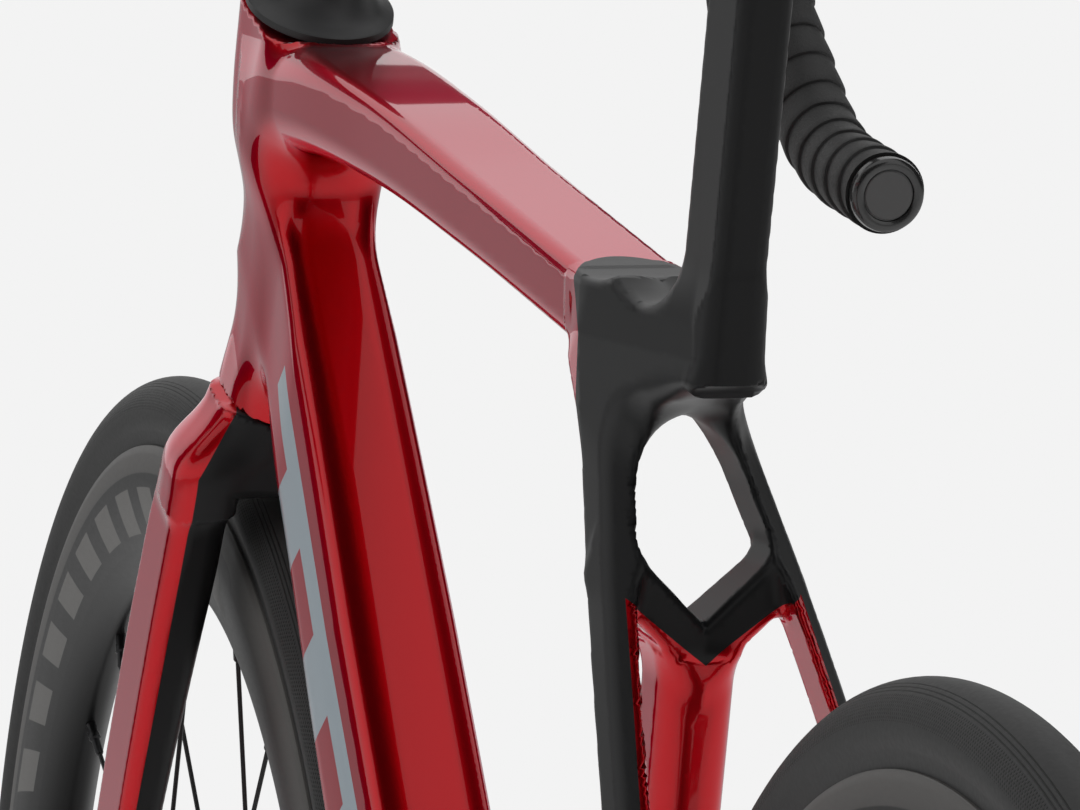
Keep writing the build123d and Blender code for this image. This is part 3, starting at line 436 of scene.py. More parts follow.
# %% Surface nets: a mesh of small squares on the zero of a distance
def skin_points(shape, low, high, step):
    """The mesh of a distance's zero, as points and quads, searched in coarse blocks first."""
    block, near_enough = 4, 1.8
    low, high = np.array(low, float), np.array(high, float)
    counts = np.ceil((high - low) / (step * block)).astype(int)
    coarse = np.stack(np.meshgrid(*map(np.arange, counts), indexing="ij"), -1).reshape(-1, 3)
    centres = low + (coarse + 0.5) * step * block
    near = coarse[np.abs(shape(*centres.T)) < step * block * near_enough]
    offsets = np.stack(np.meshgrid(*[np.arange(block)] * 3, indexing="ij"), -1).reshape(-1, 3)
    cells = (near[:, None] * block + offsets).reshape(-1, 3)
    size = counts * block + 2

    def key(places):
        """One number for each place on the grid."""
        return (places[:, 0] * size[1] + places[:, 1]) * size[2] + places[:, 2]

    corners = np.array([(i, j, k) for i in (0, 1) for j in (0, 1) for k in (0, 1)])
    all_keys = np.stack([key(cells + corner) for corner in corners], 1)
    grid_keys, grid_index = np.unique(all_keys, return_inverse=True)
    grid = np.stack((grid_keys // (size[2] * size[1]), grid_keys // size[2] % size[1],
                     grid_keys % size[2]), -1)
    grid_values = shape(*(low + grid * step).T)
    values = grid_values[grid_index.reshape(all_keys.shape)]
    mixed = (values < 0).any(1) & (values >= 0).any(1)
    cells, values = cells[mixed], values[mixed]
    total, crossings = np.zeros((len(cells), 3)), np.zeros(len(cells))
    for a in range(8):
        for b in range(a + 1, 8):
            if np.abs(corners[a] - corners[b]).sum() == 1:
                crossed = (values[:, a] < 0) != (values[:, b] < 0)
                span = np.where(crossed, values[:, a] - values[:, b], 1.0)
                share = np.where(crossed, values[:, a] / span, 0.0)[:, None]
                total += crossed[:, None] * (corners[a] + share * (corners[b] - corners[a]))
                crossings += crossed
    points = low + (cells + total / crossings[:, None]) * step
    cell_keys = key(cells)
    order = np.argsort(cell_keys)
    sorted_keys = cell_keys[order]

    def find(places):
        """The index of the point in each of these cells, or -1."""
        wanted = key(places)
        spot = np.clip(np.searchsorted(sorted_keys, wanted), 0, len(sorted_keys) - 1)
        return np.where(sorted_keys[spot] == wanted, order[spot], -1)

    quads = []
    for axis, far_corner in enumerate((4, 2, 1)):
        first, second = np.roll(np.eye(3, dtype=int), -axis, axis=0)[1:]
        crossed = (values[:, 0] < 0) != (values[:, far_corner] < 0)
        around = cells[crossed]
        ring = np.stack([find(around), find(around - first), find(around - first - second),
                         find(around - second)], 1)
        inward = values[crossed, 0] >= 0
        ring[inward] = ring[inward][:, ::-1]
        quads.append(ring[(ring >= 0).all(1)])
    return points, np.vstack(quads)


# %% A skin that settles onto the surface
def slope(shape, points, step=0.05):
    """The direction in which a distance grows, at each point."""
    parts = []
    for axis in range(3):
        nudge = np.zeros(3)
        nudge[axis] = step
        parts.append((shape(*(points + nudge).T) - shape(*(points - nudge).T)) / (2 * step))
    return np.stack(parts, -1)


def skin(name, shape, low, high, step, body, finish):
    """A smooth mesh of a distance's zero, settled onto it, which rides on a body."""
    points, quads = skin_points(shape, low, high, step)
    settling_steps, least_slope = 3, 0.1
    for _ in range(settling_steps):
        growth = slope(shape, points)
        squared = np.maximum((growth ** 2).sum(1), least_slope)
        points = points - (shape(*points.T) / squared)[:, None] * growth
    mesh = bpy.data.meshes.new(name)
    mesh.from_pydata(to_metres(points).tolist(), [], quads.tolist())
    mesh.polygons.foreach_set("use_smooth", [True] * len(mesh.polygons))
    growth = slope(shape, points)
    mesh.normals_split_custom_set_from_vertices(
        growth / np.linalg.norm(growth, axis=1, keepdims=True))
    piece = bpy.data.objects.new(name, mesh)
    bpy.context.scene.collection.objects.link(piece)
    mesh.materials.append(finish.material)
    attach(piece, body)
    print(name, "has", len(quads), "quads")
    return piece

# %% [markdown]
# ## The frame's tubes
# The stations below follow the construction's tubes. The top tube has a crisp upper edge and
# a soft lower lip, the down tube a broad flat back. Behind the top tube one flat side face
# runs through the cluster, the foot of the post and the seat stay, and a bevel turns it into
# the window. So that face is a single plane, and everything behind is trimmed to it.

# %% The tubes that meet at the head
head_place = from_bracket(head_top)[[0, 2]]
head_length = 152.0
head_tube = Tube(head_place, head_place - steer_axis[[0, 2]] * head_length,
                 (0.0, 0, -6, 52, 83, 25, 25), (0.24, 0, -3, 53, 76, 24, 25),
                 (0.35, 0, -2, 52, 69, 24, 24), (0.50, 0, -3, 40, 56, 19, 19),
                 (0.72, 0, -2, 40, 52, 19, 19), (1.0, 0, 1, 51, 60, 24, 24))
top_tube = Tube((-35.0, 490.0), (399.5, 538.0),
                (0.0, 0, 0, 37, 27, 9, 5.5), (0.36, 0, 4, 38.5, 28, 10, 5.5),
                (0.62, 0, 6, 42, 32, 12, 6.5), (0.84, 0, 3, 49, 38, 16, 11),
                (1.0, 0, -3, 52, 48, 20, 24))
down_tube = Tube((6.0, 12.0), (412.6, 492.1),
                 (0.0, 0, 0, 56, 56, 22, 20), (0.25, 0, 0, 54, 60, 16, 19),
                 (0.60, 0, 2, 54, 60, 15, 18), (0.82, 0, 4, 50, 57, 17, 17),
                 (1.0, 0, -2, 46, 64, 18, 16))
for name, tube in (("head", head_tube), ("top", top_tube), ("down", down_tube)):
    print("the", name, "tube's line is", round(tube.length), "mm long")

# %% The tubes behind
seat_tube = Tube((0.0, 0.0), (-110.0, 391.0),
                 (0.0, 0, 0, 46, 50, 18, 18), (0.24, 0, 0, 30, 44, 13, 12),
                 (0.60, 0, 0, 24, 38, 11, 10), (1.0, 0, 2, 25, 34, 11, 10))
cluster = Tube((-146.0, 481.0), (-28.0, 490.5),
               (0.0, 0, 2, 18, 18, 5, 3), (0.35, 0, -4.5, 42, 33, 4, 3),
               (0.70, 0, -2.6, 44, 31, 4, 3), (1.0, 0, 0, 37, 27, 9, 3))
post = Tube((-137.1, 484.2), (-192.4, 668.0),
            (0.0, 0, 0, 17.5, 40, 8.5, 4), (0.5, 0, 0, 17.5, 41, 8.5, 4),
            (1.0, 0, 0, 17.5, 41, 8.5, 4))
seat_stays = Tube((-65.0, 484.0), (-397.0, 79.0),
                  (0.0, 15, 0, 11, 32, 3, 3.5), (0.08, 21.5, 0, 11, 28, 3, 3.5),
                  (0.22, 32, 0, 10, 24, 3, 3.5), (0.36, 40, 0, 10, 23, 3, 3.5),
                  (0.62, 53.5, 0, 10, 20, 4, 4), (1.0, 75.5, 0, 7.8, 22, 3.5, 3.5))
chainstays = Tube((-12.0, 1.0), (-395.0, 68.0),
                  (0.0, 28, 0, 14, 40, 5, 5), (0.17, 28.5, 0, 10, 34, 4, 4),
                  (0.40, 40, 0, 12, 28, 5, 5), (0.70, 59, 0, 12, 23, 5, 5),
                  (1.0, 75.5, 0, 7.8, 22, 3.5, 3.5))
print("the seat stays end", round(seat_stays.tables[0][-1], 1), "mm out from the middle")


# %% The yoke's arms, and drums across the bike
def yoke_arm(x, y, z):
    """An arm of the yoke, in a pair: it climbs sideways and its wide way runs fore and aft."""
    start, end = np.array((-111.0, 0.0, 388.5)), np.array((-122.0, 31.0, 419.5))
    thick, wide, corner, rooted = 14.5, (33.0, 26.0), 3.5, 8.0
    length = np.linalg.norm(end - start)
    line = (end - start) / length
    across = np.cross(line, (1.0, 0.0, 0.0))
    across /= np.linalg.norm(across)
    away = np.stack((x, np.abs(y), z), -1) - start
    along = away @ line
    width = wide[0] + (wide[1] - wide[0]) * np.clip(along / length, 0, 1)
    section = rounded(np.abs(away @ across) - thick / 2 + corner,
                      np.abs(away @ np.cross(across, line)) - width / 2 + corner, corner)
    return np.maximum(section, np.maximum(-along - rooted, along - length))


def drum(x, y, z, middle, radius, start, stop):
    """A cylinder across the bike, in a pair from start to stop out from the middle."""
    return np.maximum(np.hypot(x - middle[0], z - middle[1]) - radius,
                      np.abs(np.abs(y) - (start + stop) / 2) - (stop - start) / 2)


# %% [markdown]
# ## Trimming the tubes
# The real mould is cut as a few clean faces, and they give the frame its crisp edges. A
# boolean cut on the mesh would leave a jagged seam. So each face below is one more distance,
# how far a point is outside it, and it trims the tubes with a small rounding of its own.

# %% The flat side behind, and the sides of the down tube
cluster_level, stay_half, side_gap = 484.0, 5.0, 0.3
toe_start, toe_fall, toe_slant, toe_reach = -50.0, 0.82, 0.09, 100.0
back_half, back_slant, back_end = 24.2, 0.11, ((430.0, 560.0), (0.0, 2.0))


def past_side(x, y, z):
    """How far a point is outside the flat side of the cluster and the stays."""
    height = np.minimum(z, cluster_level)
    side = seat_stays.out_at(height - cluster_level) + stay_half + side_gap
    toe_front = toe_start - (cluster_level - height) * toe_fall
    toe = toe_slant * np.maximum(x - toe_front, -toe_reach)
    return np.abs(y) - side - np.minimum(toe, 0)


def past_back(x, y, z):
    """How far a point is outside the down tube's sides, which close in towards its back."""
    along, lift = down_tube.reach(x, z)
    return np.abs(y) - back_half + back_slant * lift + np.interp(along, *back_end)


# %% The waist of the head tube, and the pocket of its cover
waist = ((0.0, 40.0, 55.0, 72.0, 92.0, 112.0, 135.0, 152.0),
         (28.5, 29.5, 28.0, 21.5, 19.3, 20.0, 24.0, 27.5))
waist_down, blur_span = np.linspace(-80.0, 240.0, 321), 37
soft_window = np.hanning(blur_span) / np.hanning(blur_span).sum()
waist_half = np.convolve(np.pad(np.interp(waist_down, *waist), blur_span // 2, "edge"),
                         soft_window, "valid")
waist_back, widest_back, widening = 392.0, 80.0, 0.004
pocket_deep, pocket_wide, pocket_back = 44.0, 29.0, 6.0


def from_head(x, z):
    """The way down the steering axis from the head tube's top, and the way ahead of it."""
    dx, dz = x - head_place[0], z - head_place[1]
    return -(dx * steer_axis[0] + dz * steer_axis[2]), dx * steer_axis[2] - dz * steer_axis[0]


def past_head(x, y, z):
    """How far a point is outside the head tube's waisted sides, which widen to the back."""
    half = np.interp(from_head(x, z)[0], waist_down, waist_half)
    return np.abs(y) - half - np.clip(waist_back - x, 0, widest_back) ** 2 * widening


def past_cover(x, y, z):
    """The distance to the pocket in which the head tube's cover sits."""
    down, ahead = from_head(x, z)
    oval = (np.hypot((ahead + pocket_back) / pocket_deep, y / pocket_wide) - 1.0) * pocket_wide
    return np.maximum(oval, down)


print("the waist is", round(2 * waist_half.min(), 1), "mm wide at its slimmest")

# %% The window below the cluster
window_top, window_slant, window_middle = 463.5, 0.1, -121.0
window_back, window_corner = 12.0, 26.0


def past_window(x, z):
    """How far a point is inside the window, below the cluster and behind the stays."""
    below = window_top - window_slant * (x - window_middle) - z
    behind = -seat_stays.reach(x, z)[1] - window_back
    return melt(below, behind, window_corner)


# %% The whole frame in one distance
rear_middle, shell_middle = from_bracket(rear_axle)[[0, 2]], (0.0, 0.0)
neck_fillet = ((490.0, 562.0), (22.0, 7.0))
fillet = {"down tube": 26.0, "cluster": 24.0, "yoke": 6.0, "front to core": 2.0,
          "shell": 16.0, "chainstays": 10.0, "lower": 8.0, "dropouts": 4.0}
crisp = {"back": 3.5, "waist": 12.0, "pocket": 2.5, "side": 3.0, "bevel": 2.5}
bevel_slant, bevel_depth = 0.7071, 5.6
shell, dropouts = (23.0, 0.0, 43.0), (15.0, 71.0, 80.0)
frame_holes = ((rear_middle, (90.0, 0.0, 71.0), 0.5), (rear_middle, (6.0, 0.0, 100.0), 0.5),
               (shell_middle, (19.0, 0.0, 60.0), 0.8))


def frame_shape(*place):
    """The distance to the frame: its front, the core behind, and the lower triangle."""
    down = carve(down_tube(*place), -past_back(*place), crisp["back"])
    front = melt(head_tube(*place), top_tube(*place), np.interp(place[2], *neck_fillet))
    front = carve(melt(front, down, fillet["down tube"]), -past_head(*place), crisp["waist"])
    front = carve(front, past_cover(*place), crisp["pocket"])
    stays = melt(seat_stays(*place), yoke_arm(*place), fillet["yoke"])
    core = melt(cluster(*place), post(*place), fillet["cluster"])
    core = melt(core, stays, fillet["cluster"])
    outside = past_side(*place)
    bevel = (outside + past_window(place[0], place[2])) * bevel_slant + bevel_depth
    core = carve(carve(core, -outside, crisp["side"]), -bevel, crisp["bevel"])
    lower = melt(seat_tube(*place), drum(*place, shell_middle, *shell), fillet["shell"])
    lower = melt(lower, chainstays(*place), fillet["chainstays"])
    body = melt(melt(front, core, fillet["front to core"]), lower, fillet["lower"])
    body = melt(body, drum(*place, rear_middle, *dropouts), fillet["dropouts"])
    for middle, hole, rounding in frame_holes:
        body = carve(body, drum(*place, middle, *hole), rounding)
    return body


# %% [markdown]
# ## Candy paint and bare carbon
# Candy paint is a clear red glaze over bright flakes, so light passes the glaze twice and
# comes back deep red. A metallic base under a clear coat gives the same in one shader. The
# other half is bare satin carbon, laid over the paint by a mask with one clean edge.

# %% Candy paint, satin carbon and silver
candy = dict(Base_Color=(0.50, 0.003, 0.008, 1.0), Metallic=1.0, Roughness=0.34,
             Specular_Tint=(1.0, 0.38, 0.52, 1.0), Coat_Weight=1.0, Coat_Roughness=0.03,
             Coat_IOR=1.35)
carbon = dict(Base_Color=(0.008, 0.008, 0.0084, 1.0), Roughness=0.38, Specular_IOR_Level=0.2)
silver = dict(Base_Color=(0.30, 0.37, 0.42, 1.0), Metallic=0.4, Roughness=0.4,
              Coat_Weight=1.0, Coat_Roughness=0.03, Coat_IOR=1.35)

# %% The frame's paint, with plain blocks on the down tube
paint_end, bow, bow_half, lean_top, lean = -21.0, 0.055, 18.5, 500.0, 0.62
stay_top, stay_slant, stay_start = 450.0, 0.14, 22.5
arch_height, arch_slant, sharp = 386.0, 0.8, 0.15
stripe_out, stripe_start, stripe_end, stripe_low, stripe_high = 17.0, 150.0, 548.0, 1.0, 13.0
block_low, block_pitch, block_gap, end_blur = -20.0, 71.0, 37.0, 0.2


def frame_finish():
    """Candy red in front of the cluster, satin black behind, with one clear edge."""
    finish = Finish("candy_and_carbon")
    x, y, z = finish.x, finish.y, finish.z
    out = y.absolute()
    paint_edge = ((paint_end - (out.least(bow_half) ** 2.0) * bow)
                  + (z - lean_top).least(0.0) * lean)
    inside = ((stay_top - z) * stay_slant + stay_start - out).edge(sharp)
    below = ((out * arch_slant + arch_height) - z).edge(sharp)
    black = (paint_edge - x).edge(sharp) * (1.0 - inside * below)
    finish.set(**candy)
    finish.over(black, **carbon)
    along, lift = down_tube.reach(x, z)
    to_end = stripe_end - along
    beside = (y > stripe_out) * (along > stripe_start) * to_end.edge(end_blur)
    strip = (lift - stripe_low).edge(sharp)
    block = (lift - block_low).edge(sharp) * ((to_end % block_pitch) - block_gap).edge(sharp)
    finish.over(beside * (stripe_high - lift).edge(sharp) * strip.most(block), **silver)
    return finish


# %% The frame's skin
frame_low, frame_high, frame_step = (-440, -90, -50), (470, 90, 690), 2.3
frame_skin = skin("frame_skin", frame_shape, frame_low, frame_high, frame_step, "frame",
                  frame_finish())
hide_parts("head_tube", "top_tube", "down_tube", "seat_cluster", "seat_tube",
            "left_seat_stay", "right_seat_stay", "left_chainstay", "right_chainstay",
            "bottom_bracket_shell", "seat_post")

# %% [markdown]
# ## The fork
# The fork turns with the wheel, so it is a skin of its own. Its crown carries on the head
# tube's outline, arches over the tyre and runs out into two thin blades. The paint covers
# its outer faces and stops at the edge of the arch; inside it is bare satin carbon.

# %% The fork's shape
crown_gap, crown_deep = 0.6, 36.0
crown_place = head_place - steer_axis[[0, 2]] * (head_length + crown_gap)
front_middle = from_bracket(front_axle)[[0, 2]]
crown = Tube(crown_place, crown_place - steer_axis[[0, 2]] * crown_deep,
             (0.0, 0, 1, 51, 60, 24, 24), (0.3, 0, 0, 62, 58, 24, 27),
             (0.6, 0, -1, 76, 54, 22, 26), (1.0, 0, -2, 80, 50, 20, 24))
blades = Tube(crown_place, front_middle,
              (0.0, 12, 0, 14, 34, 7, 7), (0.05, 25.5, 0, 25, 50, 12, 12),
              (0.10, 30, 0, 23, 50, 10, 11), (0.19, 34.5, 0, 21, 48, 7, 10),
              (0.36, 40.5, 0, 18, 45, 6, 8), (0.60, 47, 0, 14.5, 40, 5, 6),
              (0.84, 52.5, 0, 11, 34, 4, 5), (1.0, 55.5, 0, 9.5, 30, 4, 4))
fork_ends, crown_fillet, end_fillet = (14.5, 50.6, 60.6), 12.0, 4.0
fork_holes = (((352.0, 0.0, 21.0), 5.0), ((100.0, 0.0, 50.6), 0.5), ((6.0, 0.0, 100.0), 0.5))


def fork_shape(*place):
    """The distance to the fork: crown, blades and ends, less the wheel's room and its axle."""
    body = melt(crown(*place), blades(*place), crown_fillet)
    body = melt(body, drum(*place, front_middle, *fork_ends), end_fillet)
    for hole, rounding in fork_holes:
        body = carve(body, drum(*place, front_middle, *hole), rounding)
    return body


# %% Its paint, with a clear edge round the inside
inside_lines = ((400.0, 0.55, 31.0), (360.0, 0.078, 38.5), (214.0, 0.044, 49.7))
front_part, front_step, front_blur, inside_blur = -2.0, 12.0, 0.3, 0.2


def fork_finish():
    """Candy red outside; bare carbon inside, out to three lines in height, less in front."""
    finish = Finish("fork_candy")
    x, y, z = finish.x, finish.y, finish.z
    steep, middle, low = ((height - z) * slant + out for height, slant, out in inside_lines)
    ahead = blades.reach(x, z)[1] - front_part
    inside_edge = steep.least(middle).least(low) - ahead.edge(front_blur) * front_step
    finish.set(**candy)
    finish.over((inside_edge - y.absolute()).edge(inside_blur), **carbon)
    return finish


fork_low, fork_high, fork_step = (380, -80, 40), (620, 80, 440), 2.0
fork_skin = skin("fork_skin", fork_shape, fork_low, fork_high, fork_step, "steering",
                 fork_finish())
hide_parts("fork")

# %% [markdown]
# ## The wheels
# A tyre is a round casing on a deep carbon rim. Both are turned shapes: one section drawn
# once and swept round the axle. A modifier could spin it too, but writing the rings directly
# keeps the seam closed and the section exact. The tread's fine grooves and dots are far
# smaller than the section, so they are worked out in the material, from the distance along
# the section and round the wheel.

# %% A mesh from points, and a shape turned about an axis
same_place = 1e-7


def piece_from(name, points, faces, body, finish, slot, crease=32.0):
    """A closed piece from points in millimetres, smooth but for edges sharper than crease."""
    mesh = bpy.data.meshes.new(name)
    mesh.from_pydata(to_metres(points).tolist(), [], [list(face) for face in faces])
    tidy = bmesh.new()
    tidy.from_mesh(mesh)
    bmesh.ops.remove_doubles(tidy, verts=tidy.verts, dist=same_place)
    bmesh.ops.dissolve_degenerate(tidy, edges=tidy.edges, dist=same_place)
    bmesh.ops.holes_fill(tidy, edges=[edge for edge in tidy.edges if edge.is_boundary], sides=0)
    bmesh.ops.recalc_face_normals(tidy, faces=tidy.faces)
    tidy.to_mesh(mesh)
    tidy.free()
    mesh.polygons.foreach_set("use_smooth", [True] * len(mesh.polygons))
    mesh.set_sharp_from_angle(angle=math.radians(crease))
    piece = bpy.data.objects.new(name, mesh)
    bpy.context.scene.collection.objects.link(piece)
    mesh.materials.append(finish.material)
    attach(piece, body)
    print(name, "has", len(mesh.polygons), "faces")
    return piece


def ring_quads(rings, size, closed=False):
    """Quads between rings of points, and from the last to the first where it is closed."""
    return [(ring * size + place, ring * size + (place + 1) % size,
             (ring + 1) % rings * size + (place + 1) % size, (ring + 1) % rings * size + place)
            for ring in range(rings if closed else rings - 1) for place in range(size)]


def turned(profile, middle, axis, steps):
    """Points and quads of a section (radius, along) turned about an axis."""
    axis = np.asarray(axis, float) / np.linalg.norm(axis)
    side = np.cross(axis, (0.0, 1.0, 0.0) if abs(axis[1]) < 0.9 else (1.0, 0.0, 0.0))
    side /= np.linalg.norm(side)
    other = np.cross(axis, side)
    radius, along = np.array(profile, float).T
    turns = np.linspace(0, 2 * math.pi, steps, endpoint=False)
    points = (np.asarray(middle, float)
              + np.cos(turns)[:, None, None] * radius[None, :, None] * side
              + np.sin(turns)[:, None, None] * radius[None, :, None] * other
              + along[None, :, None] * axis).reshape(-1, 3)
    return points, ring_quads(steps, len(profile), closed=True)


# %% The sections of tyre and rim
tyre_middle, tyre_round, tyre_turn, bead_half = 329.0, 14.0, 122, 11.4
rim_edge, rim_inner, wheel_steps = 316.6, 264.6, 288
belly_top, belly_deep, belly_half, belly_full = 301.0, 36.4, 14.75, 0.85
casing = [(tyre_middle + tyre_round * math.cos(turn), tyre_round * math.sin(turn))
          for turn in np.radians(np.linspace(-tyre_turn, tyre_turn, 45))]
tyre_section = [(rim_edge, -bead_half), *casing, (rim_edge, bead_half)]
rim_half = [(rim_edge - inward, out) for inward, out in
            ((0.0, 12.4), (0.8, 13.2), (3.5, 13.7), (9.0, 14.2))]
rim_half += [(belly_top - belly_deep * math.sin(turn), belly_half * math.cos(turn) ** belly_full)
             for turn in np.radians(np.linspace(0, 90, 22)[:-1])]
rim_section = rim_half + [(rim_inner, 0.0)] + [(radius, -out) for radius, out in rim_half[::-1]]
print("the rim is", round(rim_edge - rim_inner, 1), "mm deep and", 2 * belly_half, "mm wide")


# %% Rubber with grooves and dots
def staggered(column, row):
    """How far a point is from its dot, across and down; every second row is half a dot on."""
    return (column + (row - row % 1.0) * 0.5) % 1.0 - 0.5, row % 1.0 - 0.5


def tyre_finish(wheel, axle):
    """Black rubber: a smooth crown, three fine grooves and a field of dots each side, painted darker as shade."""
    finish = Finish(wheel + "_rubber", axle)
    groove_places, groove_half, dot_radius, blur = (7.6, 9.3, 10.9), 0.27, 0.42, 0.12
    first_row, last_row, row_pitch, dots_round = 12.0, 20.6, 1.15, 1100
    radius = finish.x.hypot(finish.z)
    arc = finish.y.absolute().math("ARCTAN2", radius - tyre_middle) * tyre_round
    first, second, third = ((arc - place).absolute() for place in groove_places)
    grooves = (groove_half - first.least(second).least(third)).edge(blur)
    column = finish.z.math("ARCTAN2", finish.x) * (dots_round / (2 * math.pi))
    dot_pitch = 2 * math.pi * tyre_middle / dots_round
    across, down = staggered(column, (arc - first_row) / row_pitch)
    dots = (dot_radius - (across * dot_pitch).hypot(down * row_pitch)).edge(blur)
    dots = dots * (arc > first_row) * (arc < last_row)
    shaded_recesses = grooves.most(dots)
    grain = finish.noise(2.0, 4.0)
    dust = finish.noise(45.0, 3.0)
    # The grooves and dots are bumped and also painted near black: this is painted shade in the recesses.
    shade = shaded_recesses.mix((dust * 0.4 + 0.6).mix((0.012, 0.012, 0.012), (0.024, 0.024, 0.024)),
                      (0.005, 0.005, 0.005))
    finish.set(Base_Color=shade, Roughness=grain * 0.15 + 0.52, Specular_IOR_Level=0.3,
               Normal=finish.bump(grain * 0.12 - shaded_recesses, 0.0004))
    return finish


# %% Satin carbon with a panel of bare blocks
def rim_finish(wheel, axle):
    """Dark carbon: a grey satin brake band, a black panel with plain blocks, a glossy belly."""
    finish = Finish(wheel + "_carbon", axle)
    panel_turn, panel_shift, panel_half, panel_inner, panel_outer = 180.0, 40.0, 62.0, 277.0, 306.0
    block_turn, block_half, block_slant, block_margin = 7.5, 2.2, 0.16, 5.5
    brake_inner, brake_outer = 290.0, 314.0
    radius = finish.x.hypot(finish.z)
    turn = finish.z.math("ARCTAN2", finish.x) * (180.0 / math.pi)
    panel_radius = (panel_outer - panel_inner) / 2
    middle = (panel_outer + panel_inner) / 2
    from_centre = ((turn + panel_shift) % panel_turn - panel_turn / 2).absolute()
    past_end = ((from_centre - panel_half) * (middle * math.pi / 180)).most(0.0)
    from_line = past_end.hypot(radius - middle)
    panel = (panel_radius - from_line).edge(0.3)
    column = (turn + (radius - middle) * block_slant) % block_turn
    blocks = ((column - block_turn / 2).absolute() - block_half).ramp(0.04, -0.04)
    blocks = blocks * (from_line < panel_radius - block_margin) * (past_end < 0.1)
    brake = radius.ramp(brake_inner, brake_outer)
    weave = finish.noise(5.0, 3.0, (1.0, 1.0, 3.0))
    shade = brake.mix((0.006, 0.006, 0.0062), (0.075, 0.072, 0.069))
    shade = panel.mix(shade, (0.011, 0.011, 0.0112))
    shade = blocks.mix(shade, (0.12, 0.117, 0.112))
    finish.set(Base_Color=shade, Roughness=weave * 0.06 + 0.30 + brake * 0.12 + blocks * 0.06,
               Specular_IOR_Level=0.16)
    return finish


# %% The nipples
nipple_section = [(0.0, 0.5), (2.1, 0.5), (2.1, -3.5), (2.5, -4.2), (2.5, -6.5), (1.7, -7.2),
                  (1.7, -13.0), (1.35, -13.8), (0.0, -13.8)]
spoke_end, nipple_steps = 3.0, 12


def nipples(wheel, axle):
    """A slim nipple on each spoke where it enters the rim; linked points make one spoke."""
    mesh = frame["nodes"][wheel + "_spokes"].data
    places = from_bracket([vertex.co for vertex in mesh.vertices])
    leader = list(range(len(places)))

    def find(index):
        """The point that leads the group of this one."""
        while leader[index] != index:
            leader[index] = leader[leader[index]]
            index = leader[index]
        return index

    for edge in mesh.edges:
        leader[find(edge.vertices[0])] = find(edge.vertices[1])
    groups = {}
    for index in range(len(places)):
        groups.setdefault(find(index), []).append(index)
    middle = from_bracket(axle)
    all_points, all_faces = [], []
    for group in groups.values():
        spoke = places[group]
        reach = np.hypot(spoke[:, 0] - middle[0], spoke[:, 2] - middle[2])
        outer = spoke[reach > reach.max() - spoke_end].mean(0)
        inner = spoke[reach < reach.min() + spoke_end].mean(0)
        points, faces = turned(nipple_section, outer, outer - inner, nipple_steps)
        first = sum(map(len, all_points))
        all_faces += [[first + index for index in face] for face in faces]
        all_points.append(points)
    return np.concatenate(all_points), all_faces


# %% Turn both wheels and seat their nipples
nipple_black = Finish("nipple_black")
nipple_black.set(Base_Color=(0.02, 0.02, 0.021, 1.0), Metallic=0.8,
                 Roughness=nipple_black.noise(1.5) * 0.2 + 0.25)
for wheel, axle in (("front", front_axle), ("rear", rear_axle)):
    middle, body = from_bracket(axle), wheel + "_wheel"
    tyre = piece_from(wheel + "_tyre_casing", *turned(tyre_section, middle, (0, 1, 0), wheel_steps),
                      body, tyre_finish(wheel, axle), "tyre", 50.0)
    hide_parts(wheel + "_tyre")
    rim = piece_from(wheel + "_rim_shell", *turned(rim_section, middle, (0, 1, 0), wheel_steps),
                     body, rim_finish(wheel, axle), "rim", 40.0)
    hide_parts(wheel + "_rim")
    piece_from(wheel + "_nipples", *nipples(wheel, axle), body, nipple_black, "black_alloy")

# %% [markdown]
# ## The cover on the head tube
# A dished plate carries the bars' stem down to the head tube: a thin oval edge, then a
# hollow cone up to the stem. It is drawn as ovals up the steering axis, joined by quads. A
# distance field would round its thin edge away.

# %% Ovals up the steering axis: height, half width, half depth and shift ahead
cover_steps = ((0.9, 25.2, 40.2, 0), (1.5, 25.9, 41.0, 0), (3.9, 25.9, 41.0, 0),
               (4.5, 25.2, 40.2, 0), (5.6, 22.6, 36.5, 0), (8.0, 20.6, 32.6, 0.5),
               (12.0, 19.4, 29.6, 1.2), (17.0, 19.2, 27.8, 1.8), (24.0, 19.6, 27.2, 2.2),
               (30.0, 19.0, 26.0, 2.4), (31.0, 17.5, 24.5, 2.4))
cover_round = 96
cover_ahead = np.array((-steer_axis[2], 0.0, steer_axis[0])) * -1.0
cover_turns = np.linspace(0, 2 * math.pi, cover_round, endpoint=False)
ovals = [from_bracket(head_top) + steer_axis * up + cover_ahead * (shift - pocket_back)
         + np.cos(cover_turns)[:, None] * deep * cover_ahead
         + np.sin(cover_turns)[:, None] * wide * np.array((0.0, 1.0, 0.0))
         for up, wide, deep, shift in cover_steps]
satin_black = Finish("satin_black_cover")
satin_black.set(Base_Color=(0.022, 0.022, 0.0225, 1.0), Specular_IOR_Level=0.3,
                Roughness=satin_black.noise(3.0) * 0.08 + 0.42)
head_cover = piece_from("head_cover", np.concatenate(ovals),
                        ring_quads(len(cover_steps), cover_round), "steering", satin_black,
                        "black_carbon", 38.0)
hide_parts("headset_cover")

# %% [markdown]
# ## Bar tape
# Tape is wound round each drop from the plug upwards, so every turn lies over the edge of
# the one before. One strip of quads follows a spiral: its radius grows along a turn and
# falls back at the overlap, which gives real steps instead of painted lines.

